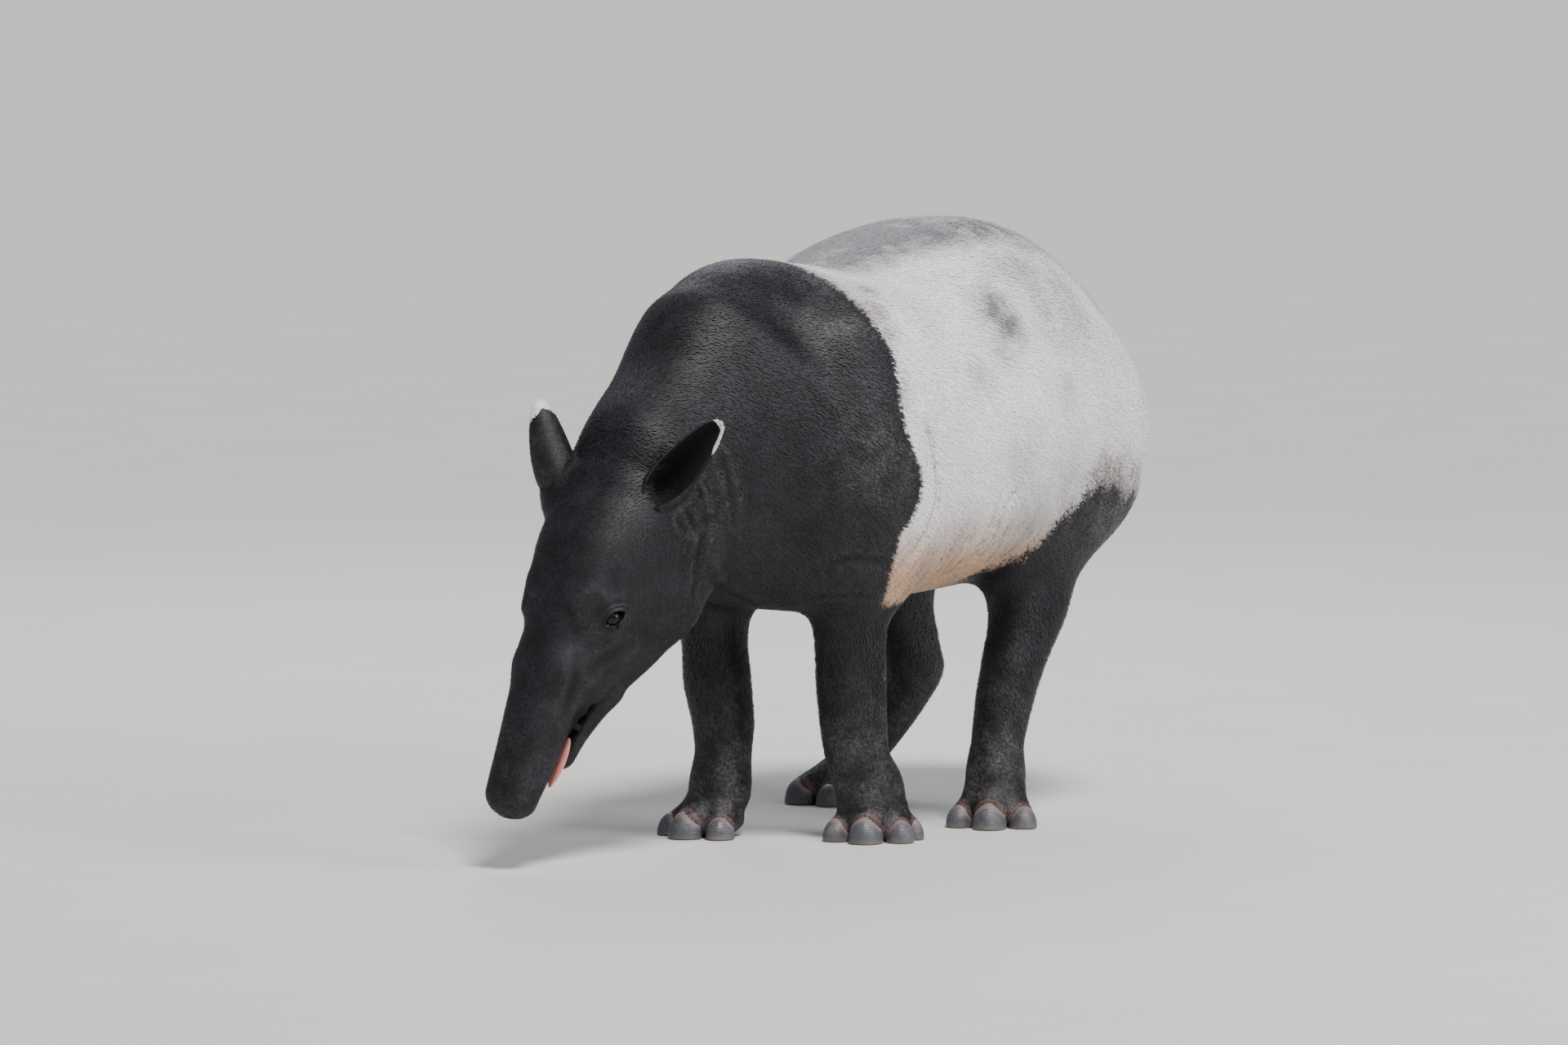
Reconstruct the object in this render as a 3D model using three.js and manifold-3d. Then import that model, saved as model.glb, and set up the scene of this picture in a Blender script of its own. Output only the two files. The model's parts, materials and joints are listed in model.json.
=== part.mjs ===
// A life-size Malayan tapir, standing with its head lowered to the ground.
// Millimetres, +Z up. The animal faces -Y, and its left side is +X.
//
// The body is one smooth form: lofts and ellipsoids that blend into each other.
// Each part of the body is a stretch of that form, meshed by itself and trimmed
// by flat cuts, so that neighbours meet face to face.
import * as THREE from "three";
import { mergeVertices } from "three/addons/utils/BufferGeometryUtils.js";
import Module from "manifold-3d";

const wasm = await Module();
wasm.setup();

// Driving sizes
const GAP = 0.3; // between pieces that touch
const LEG_CUT_Z = 372; // where the free legs leave the trunk
const FOOT_CUT_Z = 92; // where the feet leave the legs
const MANY = 5000; // larger than the whole animal

// Pose of the head: where the back of the skull is, and how the head turns
const SKULL = new THREE.Vector3(8, -661, 660);
const HEAD_YAW = -17; // degrees, positive to the animal's left
const HEAD_PITCH = 62.5; // degrees below the horizon
const HEAD_ROLL = 17; // degrees about the head's own length, positive leans the poll to the left

// Pose of the neck
const NECK_BASE = new THREE.Vector3(0, -250, 740);
const NECK_PITCH = 35;

// Eye
const EYE_AT = { along: 250, side: 83, up: 8 };
const EYE_RADIUS = 18;
const LID_THICKNESS = 4.5;
const EYE_TILT = 28; // degrees that the inner corner is turned up from the head's length
const EYE_OPENING = [17, 14, 9]; // half length, half depth and half height

// Ears: where each begins, which way it points, which way its cup opens and where the middle of the
// swelling at its root is, all in the head's frame
const EAR_THICKNESS = 5;
const EARS = {
  left: {
    at: [16, 98, 30],
    axis: [-0.78, 0.56, 0.28],
    mouth: [0.5, 0.25, 0.75],
    root: [38, 68, 2],
    length: 157,
  },
  right: {
    at: [40, -108, 50],
    axis: [-0.78, -0.48, 0.42],
    mouth: [0.1, -0.7, -0.6],
    root: [62, -104, 24],
    length: 134,
  },
};

const radians = THREE.MathUtils.degToRad;

// A local frame: along, side and up are unit vectors, and right-handed in that order.
function makeFrame(origin, along, side, up) {
  return { origin, along, side, up };
}

function place(frame, a, s, u) {
  return frame.origin
    .clone()
    .addScaledVector(frame.along, a)
    .addScaledVector(frame.side, s)
    .addScaledVector(frame.up, u);
}

function inFrame(frame, point) {
  const off = point.clone().sub(frame.origin);
  return [off.dot(frame.along), off.dot(frame.side), off.dot(frame.up)];
}

// A frame that looks forward (-Y), turned to the left by yaw, down by pitch and about its length by roll.
function lookingFrame(origin, yaw, pitch, roll) {
  const turn = new THREE.Quaternion()
    .setFromAxisAngle(new THREE.Vector3(0, 0, 1), radians(yaw))
    .multiply(
      new THREE.Quaternion().setFromAxisAngle(
        new THREE.Vector3(1, 0, 0),
        radians(pitch),
      ),
    )
    .multiply(
      new THREE.Quaternion().setFromAxisAngle(
        new THREE.Vector3(0, 1, 0),
        radians(roll),
      ),
    );
  return makeFrame(
    origin,
    new THREE.Vector3(0, -1, 0).applyQuaternion(turn),
    new THREE.Vector3(1, 0, 0).applyQuaternion(turn),
    new THREE.Vector3(0, 0, 1).applyQuaternion(turn),
  );
}

const ZERO = new THREE.Vector3();
const BODY = lookingFrame(ZERO, 0, 0, 0);
const LEG = makeFrame(
  ZERO,
  new THREE.Vector3(0, 0, 1),
  new THREE.Vector3(1, 0, 0),
  new THREE.Vector3(0, 1, 0),
);
const HEAD = lookingFrame(SKULL, HEAD_YAW, HEAD_PITCH, HEAD_ROLL);
const NECK = lookingFrame(NECK_BASE, 0, NECK_PITCH, 0);

// Reads rows of [t, values...] as smooth curves through the rows.
function curveThrough(rows) {
  const columns = rows[0].length - 1;
  const slopes = rows.map((row, i) => {
    const before = rows[Math.max(0, i - 1)];
    const after = rows[Math.min(rows.length - 1, i + 1)];
    return row
      .slice(1)
      .map((_, c) => (after[c + 1] - before[c + 1]) / (after[0] - before[0]));
  });
  const out = new Float64Array(columns);
  return (t) => {
    const last = rows.length - 1;
    if (t <= rows[0][0]) return rows[0].slice(1);
    if (t >= rows[last][0]) return rows[last].slice(1);
    let i = 0;
    while (t > rows[i + 1][0]) i += 1;
    const span = rows[i + 1][0] - rows[i][0];
    const f = (t - rows[i][0]) / span;
    const f2 = f * f;
    const f3 = f2 * f;
    for (let c = 0; c < columns; c += 1) {
      out[c] =
        (2 * f3 - 3 * f2 + 1) * rows[i][c + 1] +
        (f3 - 2 * f2 + f) * span * slopes[i][c] +
        (3 * f2 - 2 * f3) * rows[i + 1][c + 1] +
        (f3 - f2) * span * slopes[i + 1][c];
    }
    return out;
  };
}

// A field is a function of x, y, z: negative inside, and about the distance outside.

// Rows are [along, side, middle, halfWidth, top, bottom, squareness]: side and middle place the
// section's centre, top and bottom are heights in the frame, and both ends are round.
function loft(frame, rows, startCap, endCap) {
  const at = curveThrough(rows);
  const first = rows[0][0];
  const last = rows[rows.length - 1][0];
  const { origin: o, along: A, side: S, up: U } = frame;
  return (x, y, z) => {
    const dx = x - o.x;
    const dy = y - o.y;
    const dz = z - o.z;
    const a = dx * A.x + dy * A.y + dz * A.z;
    const [side, middle, width, top, bottom, square] = at(a);
    const s = dx * S.x + dy * S.y + dz * S.z - side;
    const u = dx * U.x + dy * U.y + dz * U.z - middle;
    const height = u > 0 ? top - middle : middle - bottom;
    const round = Math.pow(
      Math.pow(Math.abs(s) / width, square) +
        Math.pow(Math.abs(u) / height, square),
      1 / square,
    );
    let cap = 0;
    let capLength = 0;
    if (a < first + startCap) {
      cap = (first + startCap - a) / startCap;
      capLength = startCap;
    } else if (a > last - endCap) {
      cap = (a - last + endCap) / endCap;
      capLength = endCap;
    }
    const ratio = Math.hypot(round, cap);
    const length = Math.hypot(s, u, cap * capLength);
    return length < 1e-6 ? -Math.min(width, height) : length * (1 - 1 / ratio);
  };
}

// An ellipsoid whose radii run along the frame's axes, with its centre at [a, s, u] there.
function ellipsoid(frame, centre, radii) {
  const c = place(frame, ...centre);
  const { along: A, side: S, up: U } = frame;
  const [ra, rs, ru] = radii;
  return (x, y, z) => {
    const dx = x - c.x;
    const dy = y - c.y;
    const dz = z - c.z;
    const a = (dx * A.x + dy * A.y + dz * A.z) / ra;
    const s = (dx * S.x + dy * S.y + dz * S.z) / rs;
    const u = (dx * U.x + dy * U.y + dz * U.z) / ru;
    const near = Math.hypot(a, s, u);
    const steep = Math.hypot(a / ra, s / rs, u / ru);
    return steep < 1e-9 ? -Math.min(ra, rs, ru) : (near * (near - 1)) / steep;
  };
}

// A cone with round ends from p (radius rp) to q (radius rq), given in the frame.
function roundCone(frame, p, rp, q, rq) {
  const from = place(frame, ...p);
  const axis = place(frame, ...q).sub(from);
  const lengthSq = axis.lengthSq();
  return (x, y, z) => {
    const dx = x - from.x;
    const dy = y - from.y;
    const dz = z - from.z;
    const t = Math.min(
      1,
      Math.max(0, (dx * axis.x + dy * axis.y + dz * axis.z) / lengthSq),
    );
    const off = Math.hypot(dx - t * axis.x, dy - t * axis.y, dz - t * axis.z);
    return off - rp - t * (rq - rp);
  };
}

function smoothMin(a, b, blend) {
  const h = Math.max(blend - Math.abs(a - b), 0) / blend;
  return Math.min(a, b) - (h * h * blend) / 4;
}

// Joins fields, each given with the width of its blend into those before it.
function blendAll(first, ...others) {
  return (x, y, z) =>
    others.reduce(
      (d, [field, blend]) => smoothMin(d, field(x, y, z), blend),
      first(x, y, z),
    );
}

// Trunk
const trunk = loft(
  BODY,
  [
    // forward, side, middle, half width, top, bottom, squareness
    [-750, 0, 720, 206, 780, 580, 2.05],
    [-640, 0, 712, 210, 882, 560, 2.05],
    [-515, 0, 700, 246, 998, 510, 2.08],
    [-380, 0, 680, 288, 1063, 450, 2.12],
    [-240, 0, 665, 312, 1079, 421, 2.2],
    [-120, 0, 655, 323, 1067, 411, 2.22],
    [0, 0, 648, 312, 1040, 407, 2.2],
    [110, 0, 645, 296, 1008, 408, 2.2],
    [200, 0, 645, 275, 984, 412, 2.2],
    [330, 0, 640, 245, 930, 432, 2.2],
    [440, 0, 620, 225, 840, 435, 2.2],
  ],
  240,
  200,
);
const withers = ellipsoid(BODY, [326, 0, 874], [205, 140, 150]);
const brisket = ellipsoid(BODY, [300, 0, 515], [170, 150, 100]);

// Muscles that show on both sides of the trunk
const trunkMuscles = [1, -1].flatMap((left) => [
  [ellipsoid(BODY, [228, left * 168, 685], [150, 98, 255]), 130], // shoulder
  [ellipsoid(BODY, [190, left * 160, 502], [90, 78, 108]), 50], // upper arm
  [ellipsoid(BODY, [-405, left * 180, 662], [205, 118, 200]), 70], // thigh
  [ellipsoid(BODY, [-550, left * 102, 688], [114, 102, 162]), 60], // buttock
]);

// Neck
const neck = loft(
  NECK,
  [
    [0, 0, 5, 195, 275, -230, 2.2],
    [120, 0, 45, 180, 290, -210, 2.2],
    [240, 0, 80, 154, 288, -150, 2.2],
    [330, 0, 95, 138, 276, -95, 2.2],
    [430, 0, 75, 118, 214, -55, 2.2],
  ],
  80,
  80,
);

// Head. Its frame runs from the back of the skull to the tip of the trunk.
const skull = loft(
  HEAD,
  [
    [-19, 0, -20, 108, 60, -160, 2.3],
    [38, 0, -20, 117, 80, -200, 2.3],
    [96, 0, -20, 118, 92, -232, 2.35],
    [172, 0, -20, 113, 93, -243, 2.4],
    [249, 0, -20, 91, 80, -222, 2.4],
    [315, 0, -18, 76, 63, -183, 2.4],
    [382, 0, -15, 67, 47, -141, 2.4],
    [421, 0, -15, 60, 40, -124, 2.4],
  ],
  50,
  60,
);
const proboscis = loft(
  HEAD,
  [
    [315, 0, 0, 71, 59, -62, 2.4],
    [382, 0, -2, 62, 45, -58, 2.4],
    [449, 0, -8, 57, 35, -70, 2.4],
    [516, 0, -18, 52, 20, -74, 2.5],
    [574, 0, -27, 48, 9, -68, 2.6],
    [624, 0, -33, 44, -2, -66, 2.6],
  ],
  60,
  34,
);
const jaw = loft(
  HEAD,
  [
    [315, 0, -108, 69, -30, -180, 2.4],
    [382, 0, -100, 58, -50, -142, 2.4],
    [440, 0, -94, 48, -60, -121, 2.4],
    [480, 0, -94, 42, -67, -116, 2.4],
    [510, 0, -96, 36, -72, -114, 2.4],
  ],
  40,
  26,
);
const headMuscles = [1, -1].flatMap((left) => [
  [ellipsoid(HEAD, [142, left * 70, -114], [104, 48, 96]), 40], // cheek
  [ellipsoid(HEAD, [200, left * 80, -8], [85, 24, 30]), 30], // cheek bone
  [ellipsoid(HEAD, [238, left * 60, 52], [46, 16, 14]), 24], // brow
  [
    ellipsoid(
      HEAD,
      [EYE_AT.along, left * EYE_AT.side, EYE_AT.up],
      Array(3).fill(EYE_RADIUS + LID_THICKNESS),
    ),
    12,
  ], // lids
]);

const poll = ellipsoid(HEAD, [-24, 0, 22], [74, 86, 58]);
const earRoots = Object.values(EARS).map(({ root }) => [
  ellipsoid(HEAD, root, [46, 34, 36]),
  30,
]);

// Legs. Rows are [height, left, back, half width, back, front, squareness].
function leg(rows) {
  return loft(
    LEG,
    rows.map(([z, x, y, half, behind, ahead]) => [
      z,
      x,
      y,
      half,
      y + behind,
      y - ahead,
      2.2,
    ]),
    30,
    60,
  );
}
const LEG_ROWS = {
  fore_left: [
    // height, left, back, half width, reach behind, reach ahead
    [40, 152, -144, 54, 58, 62],
    [90, 144, -156, 55, 58, 60],
    [150, 134, -170, 55, 58, 60],
    [200, 126, -170, 57, 61, 62],
    [270, 122, -172, 60, 64, 64],
    [350, 124, -180, 60, 72, 66],
    [440, 140, -198, 74, 84, 86],
    [560, 155, -218, 90, 118, 115],
    [660, 160, -225, 90, 130, 120],
  ],
  fore_right: [
    [40, -110, -253, 49, 53, 57],
    [90, -106, -244, 46, 51, 50],
    [150, -105, -241, 49, 52, 52],
    [200, -106, -241, 54, 57, 57],
    [270, -115, -246, 59, 63, 61],
    [350, -122, -245, 57, 64, 64],
    [440, -132, -240, 74, 86, 85],
    [560, -150, -235, 90, 130, 120],
    [660, -160, -225, 90, 130, 125],
  ],
  hind_left: [
    [40, 196, 164, 45, 50, 52],
    [90, 192, 171, 43, 47, 50],
    [160, 189, 188, 46, 51, 53],
    [230, 188, 212, 51, 58, 60],
    [290, 190, 235, 56, 66, 64],
    [360, 190, 270, 64, 81, 74],
    [440, 180, 298, 74, 108, 98],
    [560, 181, 342, 90, 152, 140],
    [660, 188, 375, 95, 158, 150],
  ],
  hind_right: [
    [40, -252, 326, 44, 50, 46],
    [90, -234, 378, 42, 54, 44],
    [160, -202, 420, 43, 60, 54],
    [230, -174, 443, 46, 62, 68],
    [290, -165, 415, 50, 60, 74],
    [360, -163, 372, 60, 76, 84],
    [440, -168, 362, 76, 108, 105],
    [560, -182, 372, 92, 150, 145],
    [660, -188, 380, 95, 150, 150],
  ],
};
const legs = Object.fromEntries(
  Object.entries(LEG_ROWS).map(([name, rows]) => [name, leg(rows)]),
);

// Feet. Each foot stands at [left, back] and points to its heading; toes are laid out in the foot's own frame.
const FEET = {
  fore_left: { at: [155, -153], heading: 24, outer: 1, fore: true },
  fore_right: { at: [-114, -270], heading: -6, outer: -1, fore: true },
  hind_left: { at: [203, 154], heading: 26, outer: 1, fore: false },
  hind_right: { at: [-253, 293], heading: -26, outer: -1, fore: false, leaning: true },
};
// Each toe: how far forward and outward its end is, its radius and height, and how far it splays out in degrees.
const TOES = {
  middle: { forward: 56, outward: 0, radius: 28, height: 25, splay: 0 },
  inner: { forward: 30, outward: -54, radius: 23, height: 20, splay: -26 },
  outer: { forward: 30, outward: 54, radius: 23, height: 20, splay: 26 },
  small: { forward: -16, outward: 66, radius: 15, height: 27, splay: 62 },
};
const ANKLE_HEIGHT = 50;
const PAD_DROP = 4; // the pad's round underside is cut flat this far up
const HOOF_REACH = 9; // how far a hoof stands out in front of its toe

function footFrame(foot) {
  return lookingFrame(
    new THREE.Vector3(foot.at[0], foot.at[1], 0),
    foot.heading,
    0,
    0,
  );
}

function toesOf(foot) {
  return Object.entries(TOES).filter(([name]) => foot.fore || name !== "small");
}

function footField(foot) {
  const frame = footFrame(foot);
  const toes = toesOf(foot).map(([, toe]) => [
    roundCone(
      frame,
      [toe.forward * 0.1 - 12, toe.outward * foot.outer * 0.45, ANKLE_HEIGHT],
      toe.radius + 4,
      [toe.forward, toe.outward * foot.outer, toe.height],
      toe.radius,
    ),
    14,
  ]);
  const pad = ellipsoid(
    frame,
    [-4, 0, 34 - PAD_DROP],
    [58, 60, 34],
  );
  const ankle = foot.leaning
    ? ellipsoid(frame, [-44, 0, 62], [46, 44, 44])
    : ellipsoid(frame, [-22, 0, 84], [48, 48, 60]);
  return blendAll(ankle, [pad, 20], ...toes);
}
const feet = Object.fromEntries(
  Object.entries(FEET).map(([name, foot]) => [name, footField(foot)]),
);

// Tail
const TAIL = makeFrame(
  new THREE.Vector3(0, 706, 800),
  new THREE.Vector3(0, 0.72, -0.694).normalize(),
  new THREE.Vector3(-1, 0, 0),
  new THREE.Vector3(0, 0.694, 0.72).normalize(),
);
const TAIL_LENGTH = 96;
const tail = blendAll(
  roundCone(TAIL, [-30, 0, 0], 38, [30, 0, 0], 25),
  [roundCone(TAIL, [20, 0, 0], 26, [TAIL_LENGTH - 13, 0, 0], 13), 15],
);

const body = blendAll(
  trunk,
  [withers, 90],
  [brisket, 60],
  ...trunkMuscles,
  [neck, 90],
  [legs.fore_left, 30],
  [legs.fore_right, 30],
  [legs.hind_left, 60],
  [legs.hind_right, 60],
);
const upperHead = blendAll(
  skull,
  [proboscis, 30],
  [jaw, 20],
  [poll, 50],
  ...headMuscles,
  ...earRoots,
);
const whole = blendAll(body, [upperHead, 60]);

// Meshes the surface of a field inside the box from..to of a frame, and some way round it, on cells of
// the given size: one vertex in each cell that the surface crosses, moved onto the surface.
function meshField(field, frame, from, to, cell) {
  const low = from.map((v) => v - 3 * cell);
  const high = to.map((v) => v + 3 * cell);
  const inset = cell * 1.01;
  const counts = low.map((l, i) => Math.ceil((high[i] - l) / cell) + 1);
  const [nx, ny, nz] = counts;
  const boxed = (a, s, u) =>
    Math.max(
      low[0] + inset - a,
      a - high[0] + inset,
      low[1] + inset - s,
      s - high[1] + inset,
      low[2] + inset - u,
      u - high[2] + inset,
    );
  const here = (a, s, u) => {
    const p = place(frame, a, s, u);
    return field(p.x, p.y, p.z);
  };
  const index = (i, j, k) => (i * ny + j) * nz + k;
  const values = new Float64Array(nx * ny * nz);
  for (let i = 0; i < nx; i += 1)
    for (let j = 0; j < ny; j += 1)
      for (let k = 0; k < nz; k += 1) {
        const at = [low[0] + i * cell, low[1] + j * cell, low[2] + k * cell];
        values[index(i, j, k)] = Math.max(here(...at), boxed(...at)) || 1e-9;
      }
  const vertexOf = new Int32Array(nx * ny * nz).fill(-1);
  const positions = [];
  const corners = [];
  for (let c = 0; c < 8; c += 1) corners.push([c & 1, (c >> 1) & 1, (c >> 2) & 1]);
  const edges = [];
  corners.forEach((from, a) =>
    corners.forEach((to, b) => {
      const apart = from.reduce((n, v, i) => n + Math.abs(v - to[i]), 0);
      if (a < b && apart === 1) edges.push([from, to]);
    }),
  );
  for (let i = 0; i < nx - 1; i += 1)
    for (let j = 0; j < ny - 1; j += 1)
      for (let k = 0; k < nz - 1; k += 1) {
        const sum = [0, 0, 0];
        let crossings = 0;
        for (const [from, to] of edges) {
          const v = values[index(i + from[0], j + from[1], k + from[2])];
          const w = values[index(i + to[0], j + to[1], k + to[2])];
          if (v < 0 === w < 0) continue;
          const f = v / (v - w);
          for (let n = 0; n < 3; n += 1) sum[n] += from[n] + f * (to[n] - from[n]);
          crossings += 1;
        }
        if (!crossings) continue;
        const local = [i, j, k].map(
          (n, axis) => low[axis] + cell * (n + sum[axis] / crossings),
        );
        let p = place(frame, ...local);
        if (boxed(...local) < -0.6 * cell) {
          ontoSurface(field, p, 0.7 * cell);
          const inCell = inFrame(frame, p).map((v, axis) =>
            THREE.MathUtils.clamp(
              v,
              low[axis] + cell * ([i, j, k][axis] - 0.04),
              low[axis] + cell * ([i, j, k][axis] + 1.04),
            ),
          );
          p = place(frame, ...inCell);
        }
        vertexOf[index(i, j, k)] = positions.length / 3;
        positions.push(p.x, p.y, p.z);
      }
  const faces = [];
  const at = (n) => new THREE.Vector3().fromArray(positions, 3 * n);
  const facing = (a, b, c) =>
    at(b).sub(at(a)).cross(at(c).sub(at(a))).normalize();
  const quad = (a, b, c, d) => {
    const across = facing(a, b, c).dot(facing(a, c, d));
    const other = facing(a, b, d).dot(facing(b, c, d));
    if (across >= other) faces.push(a, b, c, a, c, d);
    else faces.push(a, b, d, b, c, d);
  };
  const steps = [
    [1, 0, 0],
    [0, 1, 0],
    [0, 0, 1],
  ];
  for (let i = 1; i < nx - 1; i += 1)
    for (let j = 1; j < ny - 1; j += 1)
      for (let k = 1; k < nz - 1; k += 1)
        for (let axis = 0; axis < 3; axis += 1) {
          const g = [i, j, k];
          const step = steps[axis];
          const next = g.map((n, m) => n + step[m]);
          const v = values[index(...g)];
          const w = values[index(...next)];
          if (v < 0 === w < 0) continue;
          const sideways = steps[(axis + 1) % 3];
          const upward = steps[(axis + 2) % 3];
          const around = [
            g,
            g.map((n, m) => n - sideways[m]),
            g.map((n, m) => n - sideways[m] - upward[m]),
            g.map((n, m) => n - upward[m]),
          ].map((at) => vertexOf[index(...at)]);
          quad(...(v < 0 ? around : around.reverse()));
        }
  return new THREE.BufferGeometry()
    .setAttribute("position", new THREE.Float32BufferAttribute(positions, 3))
    .setIndex(faces);
}

// Moves p onto the field's surface, by at most limit.
function ontoSurface(field, p, limit) {
  const start = p.clone();
  const step = 0.5;
  for (let n = 0; n < 4; n += 1) {
    const value = field(p.x, p.y, p.z);
    const slope = new THREE.Vector3(
      field(p.x + step, p.y, p.z) - field(p.x - step, p.y, p.z),
      field(p.x, p.y + step, p.z) - field(p.x, p.y - step, p.z),
      field(p.x, p.y, p.z + step) - field(p.x, p.y, p.z - step),
    ).multiplyScalar(0.5 / step);
    const steepness = slope.lengthSq();
    if (steepness < 1e-6) break;
    p.addScaledVector(slope, -value / steepness);
  }
  const moved = p.clone().sub(start);
  if (moved.length() > limit) p.copy(start).addScaledVector(moved, limit / moved.length());
}

// A closed three.js geometry as a manifold solid.
function solidOf(geometry) {
  const bare = new THREE.BufferGeometry()
    .setAttribute("position", geometry.getAttribute("position"))
    .setIndex(geometry.index);
  const merged = mergeVertices(bare, 1e-4);
  return new wasm.Manifold(
    new wasm.Mesh({
      numProp: 3,
      vertProperties: merged.attributes.position.array,
      triVerts: new Uint32Array(merged.index.array),
    }),
  );
}

function largest(solid) {
  return solid
    .decompose()
    .reduce((best, piece) => (piece.volume() > best.volume() ? piece : best));
}

// A box in a frame, from low to high.
function boxIn(frame, low, high) {
  const size = high.map((h, i) => h - low[i]);
  const centre = place(frame, ...high.map((h, i) => (h + low[i]) / 2));
  const turn = new THREE.Matrix4()
    .makeBasis(frame.along, frame.side, frame.up)
    .setPosition(centre);
  return solidOf(new THREE.BoxGeometry(...size).applyMatrix4(turn));
}

// Everything ahead of a plane that crosses the frame at the given distance along it.
function ahead(frame, distance) {
  return boxIn(
    frame,
    [distance + GAP / 2, -MANY, -MANY],
    [MANY, MANY, MANY],
  );
}

function behind(frame, distance) {
  return boxIn(
    frame,
    [-MANY, -MANY, -MANY],
    [distance - GAP / 2, MANY, MANY],
  );
}

const above = (z) => ahead(LEG, z);
const below = (z) => behind(LEG, z);

// The same solid with its surface moved out along its normals.
function grown(solid, by) {
  const made = solid.getMesh();
  const geometry = new THREE.BufferGeometry()
    .setAttribute(
      "position",
      new THREE.BufferAttribute(new Float32Array(made.vertProperties), 3),
    )
    .setIndex(new THREE.BufferAttribute(made.triVerts, 1));
  geometry.computeVertexNormals();
  const at = geometry.getAttribute("position");
  const normal = geometry.getAttribute("normal");
  for (let i = 0; i < at.count; i += 1)
    at.setXYZ(
      i,
      at.getX(i) + by * normal.getX(i),
      at.getY(i) + by * normal.getY(i),
      at.getZ(i) + by * normal.getZ(i),
    );
  return solidOf(geometry);
}

// A ball or an ellipsoid as a solid: its centre is at [a, s, u] in the frame, its radii run along the frame's axes.
function ballIn(frame, centre, radii, around = 12, rings = 8) {
  const matrix = new THREE.Matrix4()
    .makeBasis(
      frame.along.clone().multiplyScalar(radii[0]),
      frame.side.clone().multiplyScalar(radii[1]),
      frame.up.clone().multiplyScalar(radii[2]),
    )
    .setPosition(place(frame, ...centre));
  const geometry = new THREE.SphereGeometry(1, around, rings).applyMatrix4(matrix);
  if (matrix.determinant() < 0) geometry.index.array.reverse();
  return solidOf(geometry);
}

// A frame from two directions given in another frame; the second is made square to the first.
function frameAlong(base, origin, along, side) {
  const a = place(base, ...along).sub(base.origin).normalize();
  const s = place(base, ...side).sub(base.origin);
  s.addScaledVector(a, -s.dot(a)).normalize();
  return makeFrame(place(base, ...origin), a, s, new THREE.Vector3().crossVectors(a, s));
}

// The cuts across the neck and the head
const NECK_CUT = lookingFrame(new THREE.Vector3(0, -432, 700), 0, 12, 0);
const HEAD_CUT = lookingFrame(
  place(HEAD, 4, 0, -60),
  HEAD_YAW,
  HEAD_PITCH - 13,
  HEAD_ROLL,
);
const SNOUT_CUT_ALONG = 448;
const MOUTH_CORNER_ALONG = 384;
const UPPER_LIP_HEIGHT = -72;
const LOWER_LIP_HEIGHT = -78;

const root = new THREE.Group();
root.name = "malayan_tapir";

const LOOKS = {
  black: { color: 0x2a2930, roughness: 0.75, metalness: 0 },
  saddle: { color: 0xc9c3bd, roughness: 0.85, metalness: 0 },
  hoof: { color: 0x6d6a6b, roughness: 0.6, metalness: 0 },
  eye: { color: 0x14100e, roughness: 0.1, metalness: 0 },
  tongue: { color: 0xc9766f, roughness: 0.4, metalness: 0 },
};
const materials = Object.fromEntries(
  Object.entries(LOOKS).map(([name, look]) => [
    name,
    new THREE.MeshStandardMaterial(look),
  ]),
);

function add(name, solid, look) {
  const made = largest(solid).getMesh();
  const geometry = new THREE.BufferGeometry()
    .setAttribute(
      "position",
      new THREE.BufferAttribute(new Float32Array(made.vertProperties), 3),
    )
    .setIndex(new THREE.BufferAttribute(made.triVerts, 1));
  geometry.computeVertexNormals();
  const mesh = new THREE.Mesh(geometry, materials[look]);
  mesh.name = name;
  root.add(mesh);
}

// Size of the mesh's cells on each part
const CELL = {
  trunk: 48,
  neck: 40,
  head: 22,
  snout: 16,
  jaw: 16,
  leg: 28,
  foot: 18,
  tail: 15,
};

// Trunk, neck and tail
const trunkForm = solidOf(
  meshField(
    whole,
    BODY,
    [-800, -340, LEG_CUT_Z],
    [720, 340, 1090],
    CELL.trunk,
  ),
);
const torso = largest(
  trunkForm.intersect(behind(NECK_CUT, 0)).intersect(above(LEG_CUT_Z)),
);
add("torso", torso, "saddle");
add(
  "tail",
  solidOf(
    meshField(tail, TAIL, [-60, -40, -40], [TAIL_LENGTH, 40, 40], CELL.tail),
  ).subtract(grown(torso, GAP + 0.1)),
  "black",
);
const neckForm = largest(
  solidOf(
    meshField(whole, NECK_CUT, [0, -260, -340], [420, 260, 330], CELL.neck),
  )
    .intersect(ahead(NECK_CUT, 0))
    .intersect(behind(HEAD_CUT, 0)),
);
const neckGrown = grown(neckForm, GAP + 0.1);
add("neck", neckForm, "black");

// Eyes and their sockets
const EYES = Object.fromEntries(
  [
    ["left", 1],
    ["right", -1],
  ].map(([name, left]) => [
    name,
    frameAlong(
      HEAD,
      [EYE_AT.along, left * EYE_AT.side, EYE_AT.up],
      [Math.cos(radians(EYE_TILT)), -left * 0.25, Math.sin(radians(EYE_TILT))],
      [0.24, left * 0.84, 0.48],
    ),
  ]),
);

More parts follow.
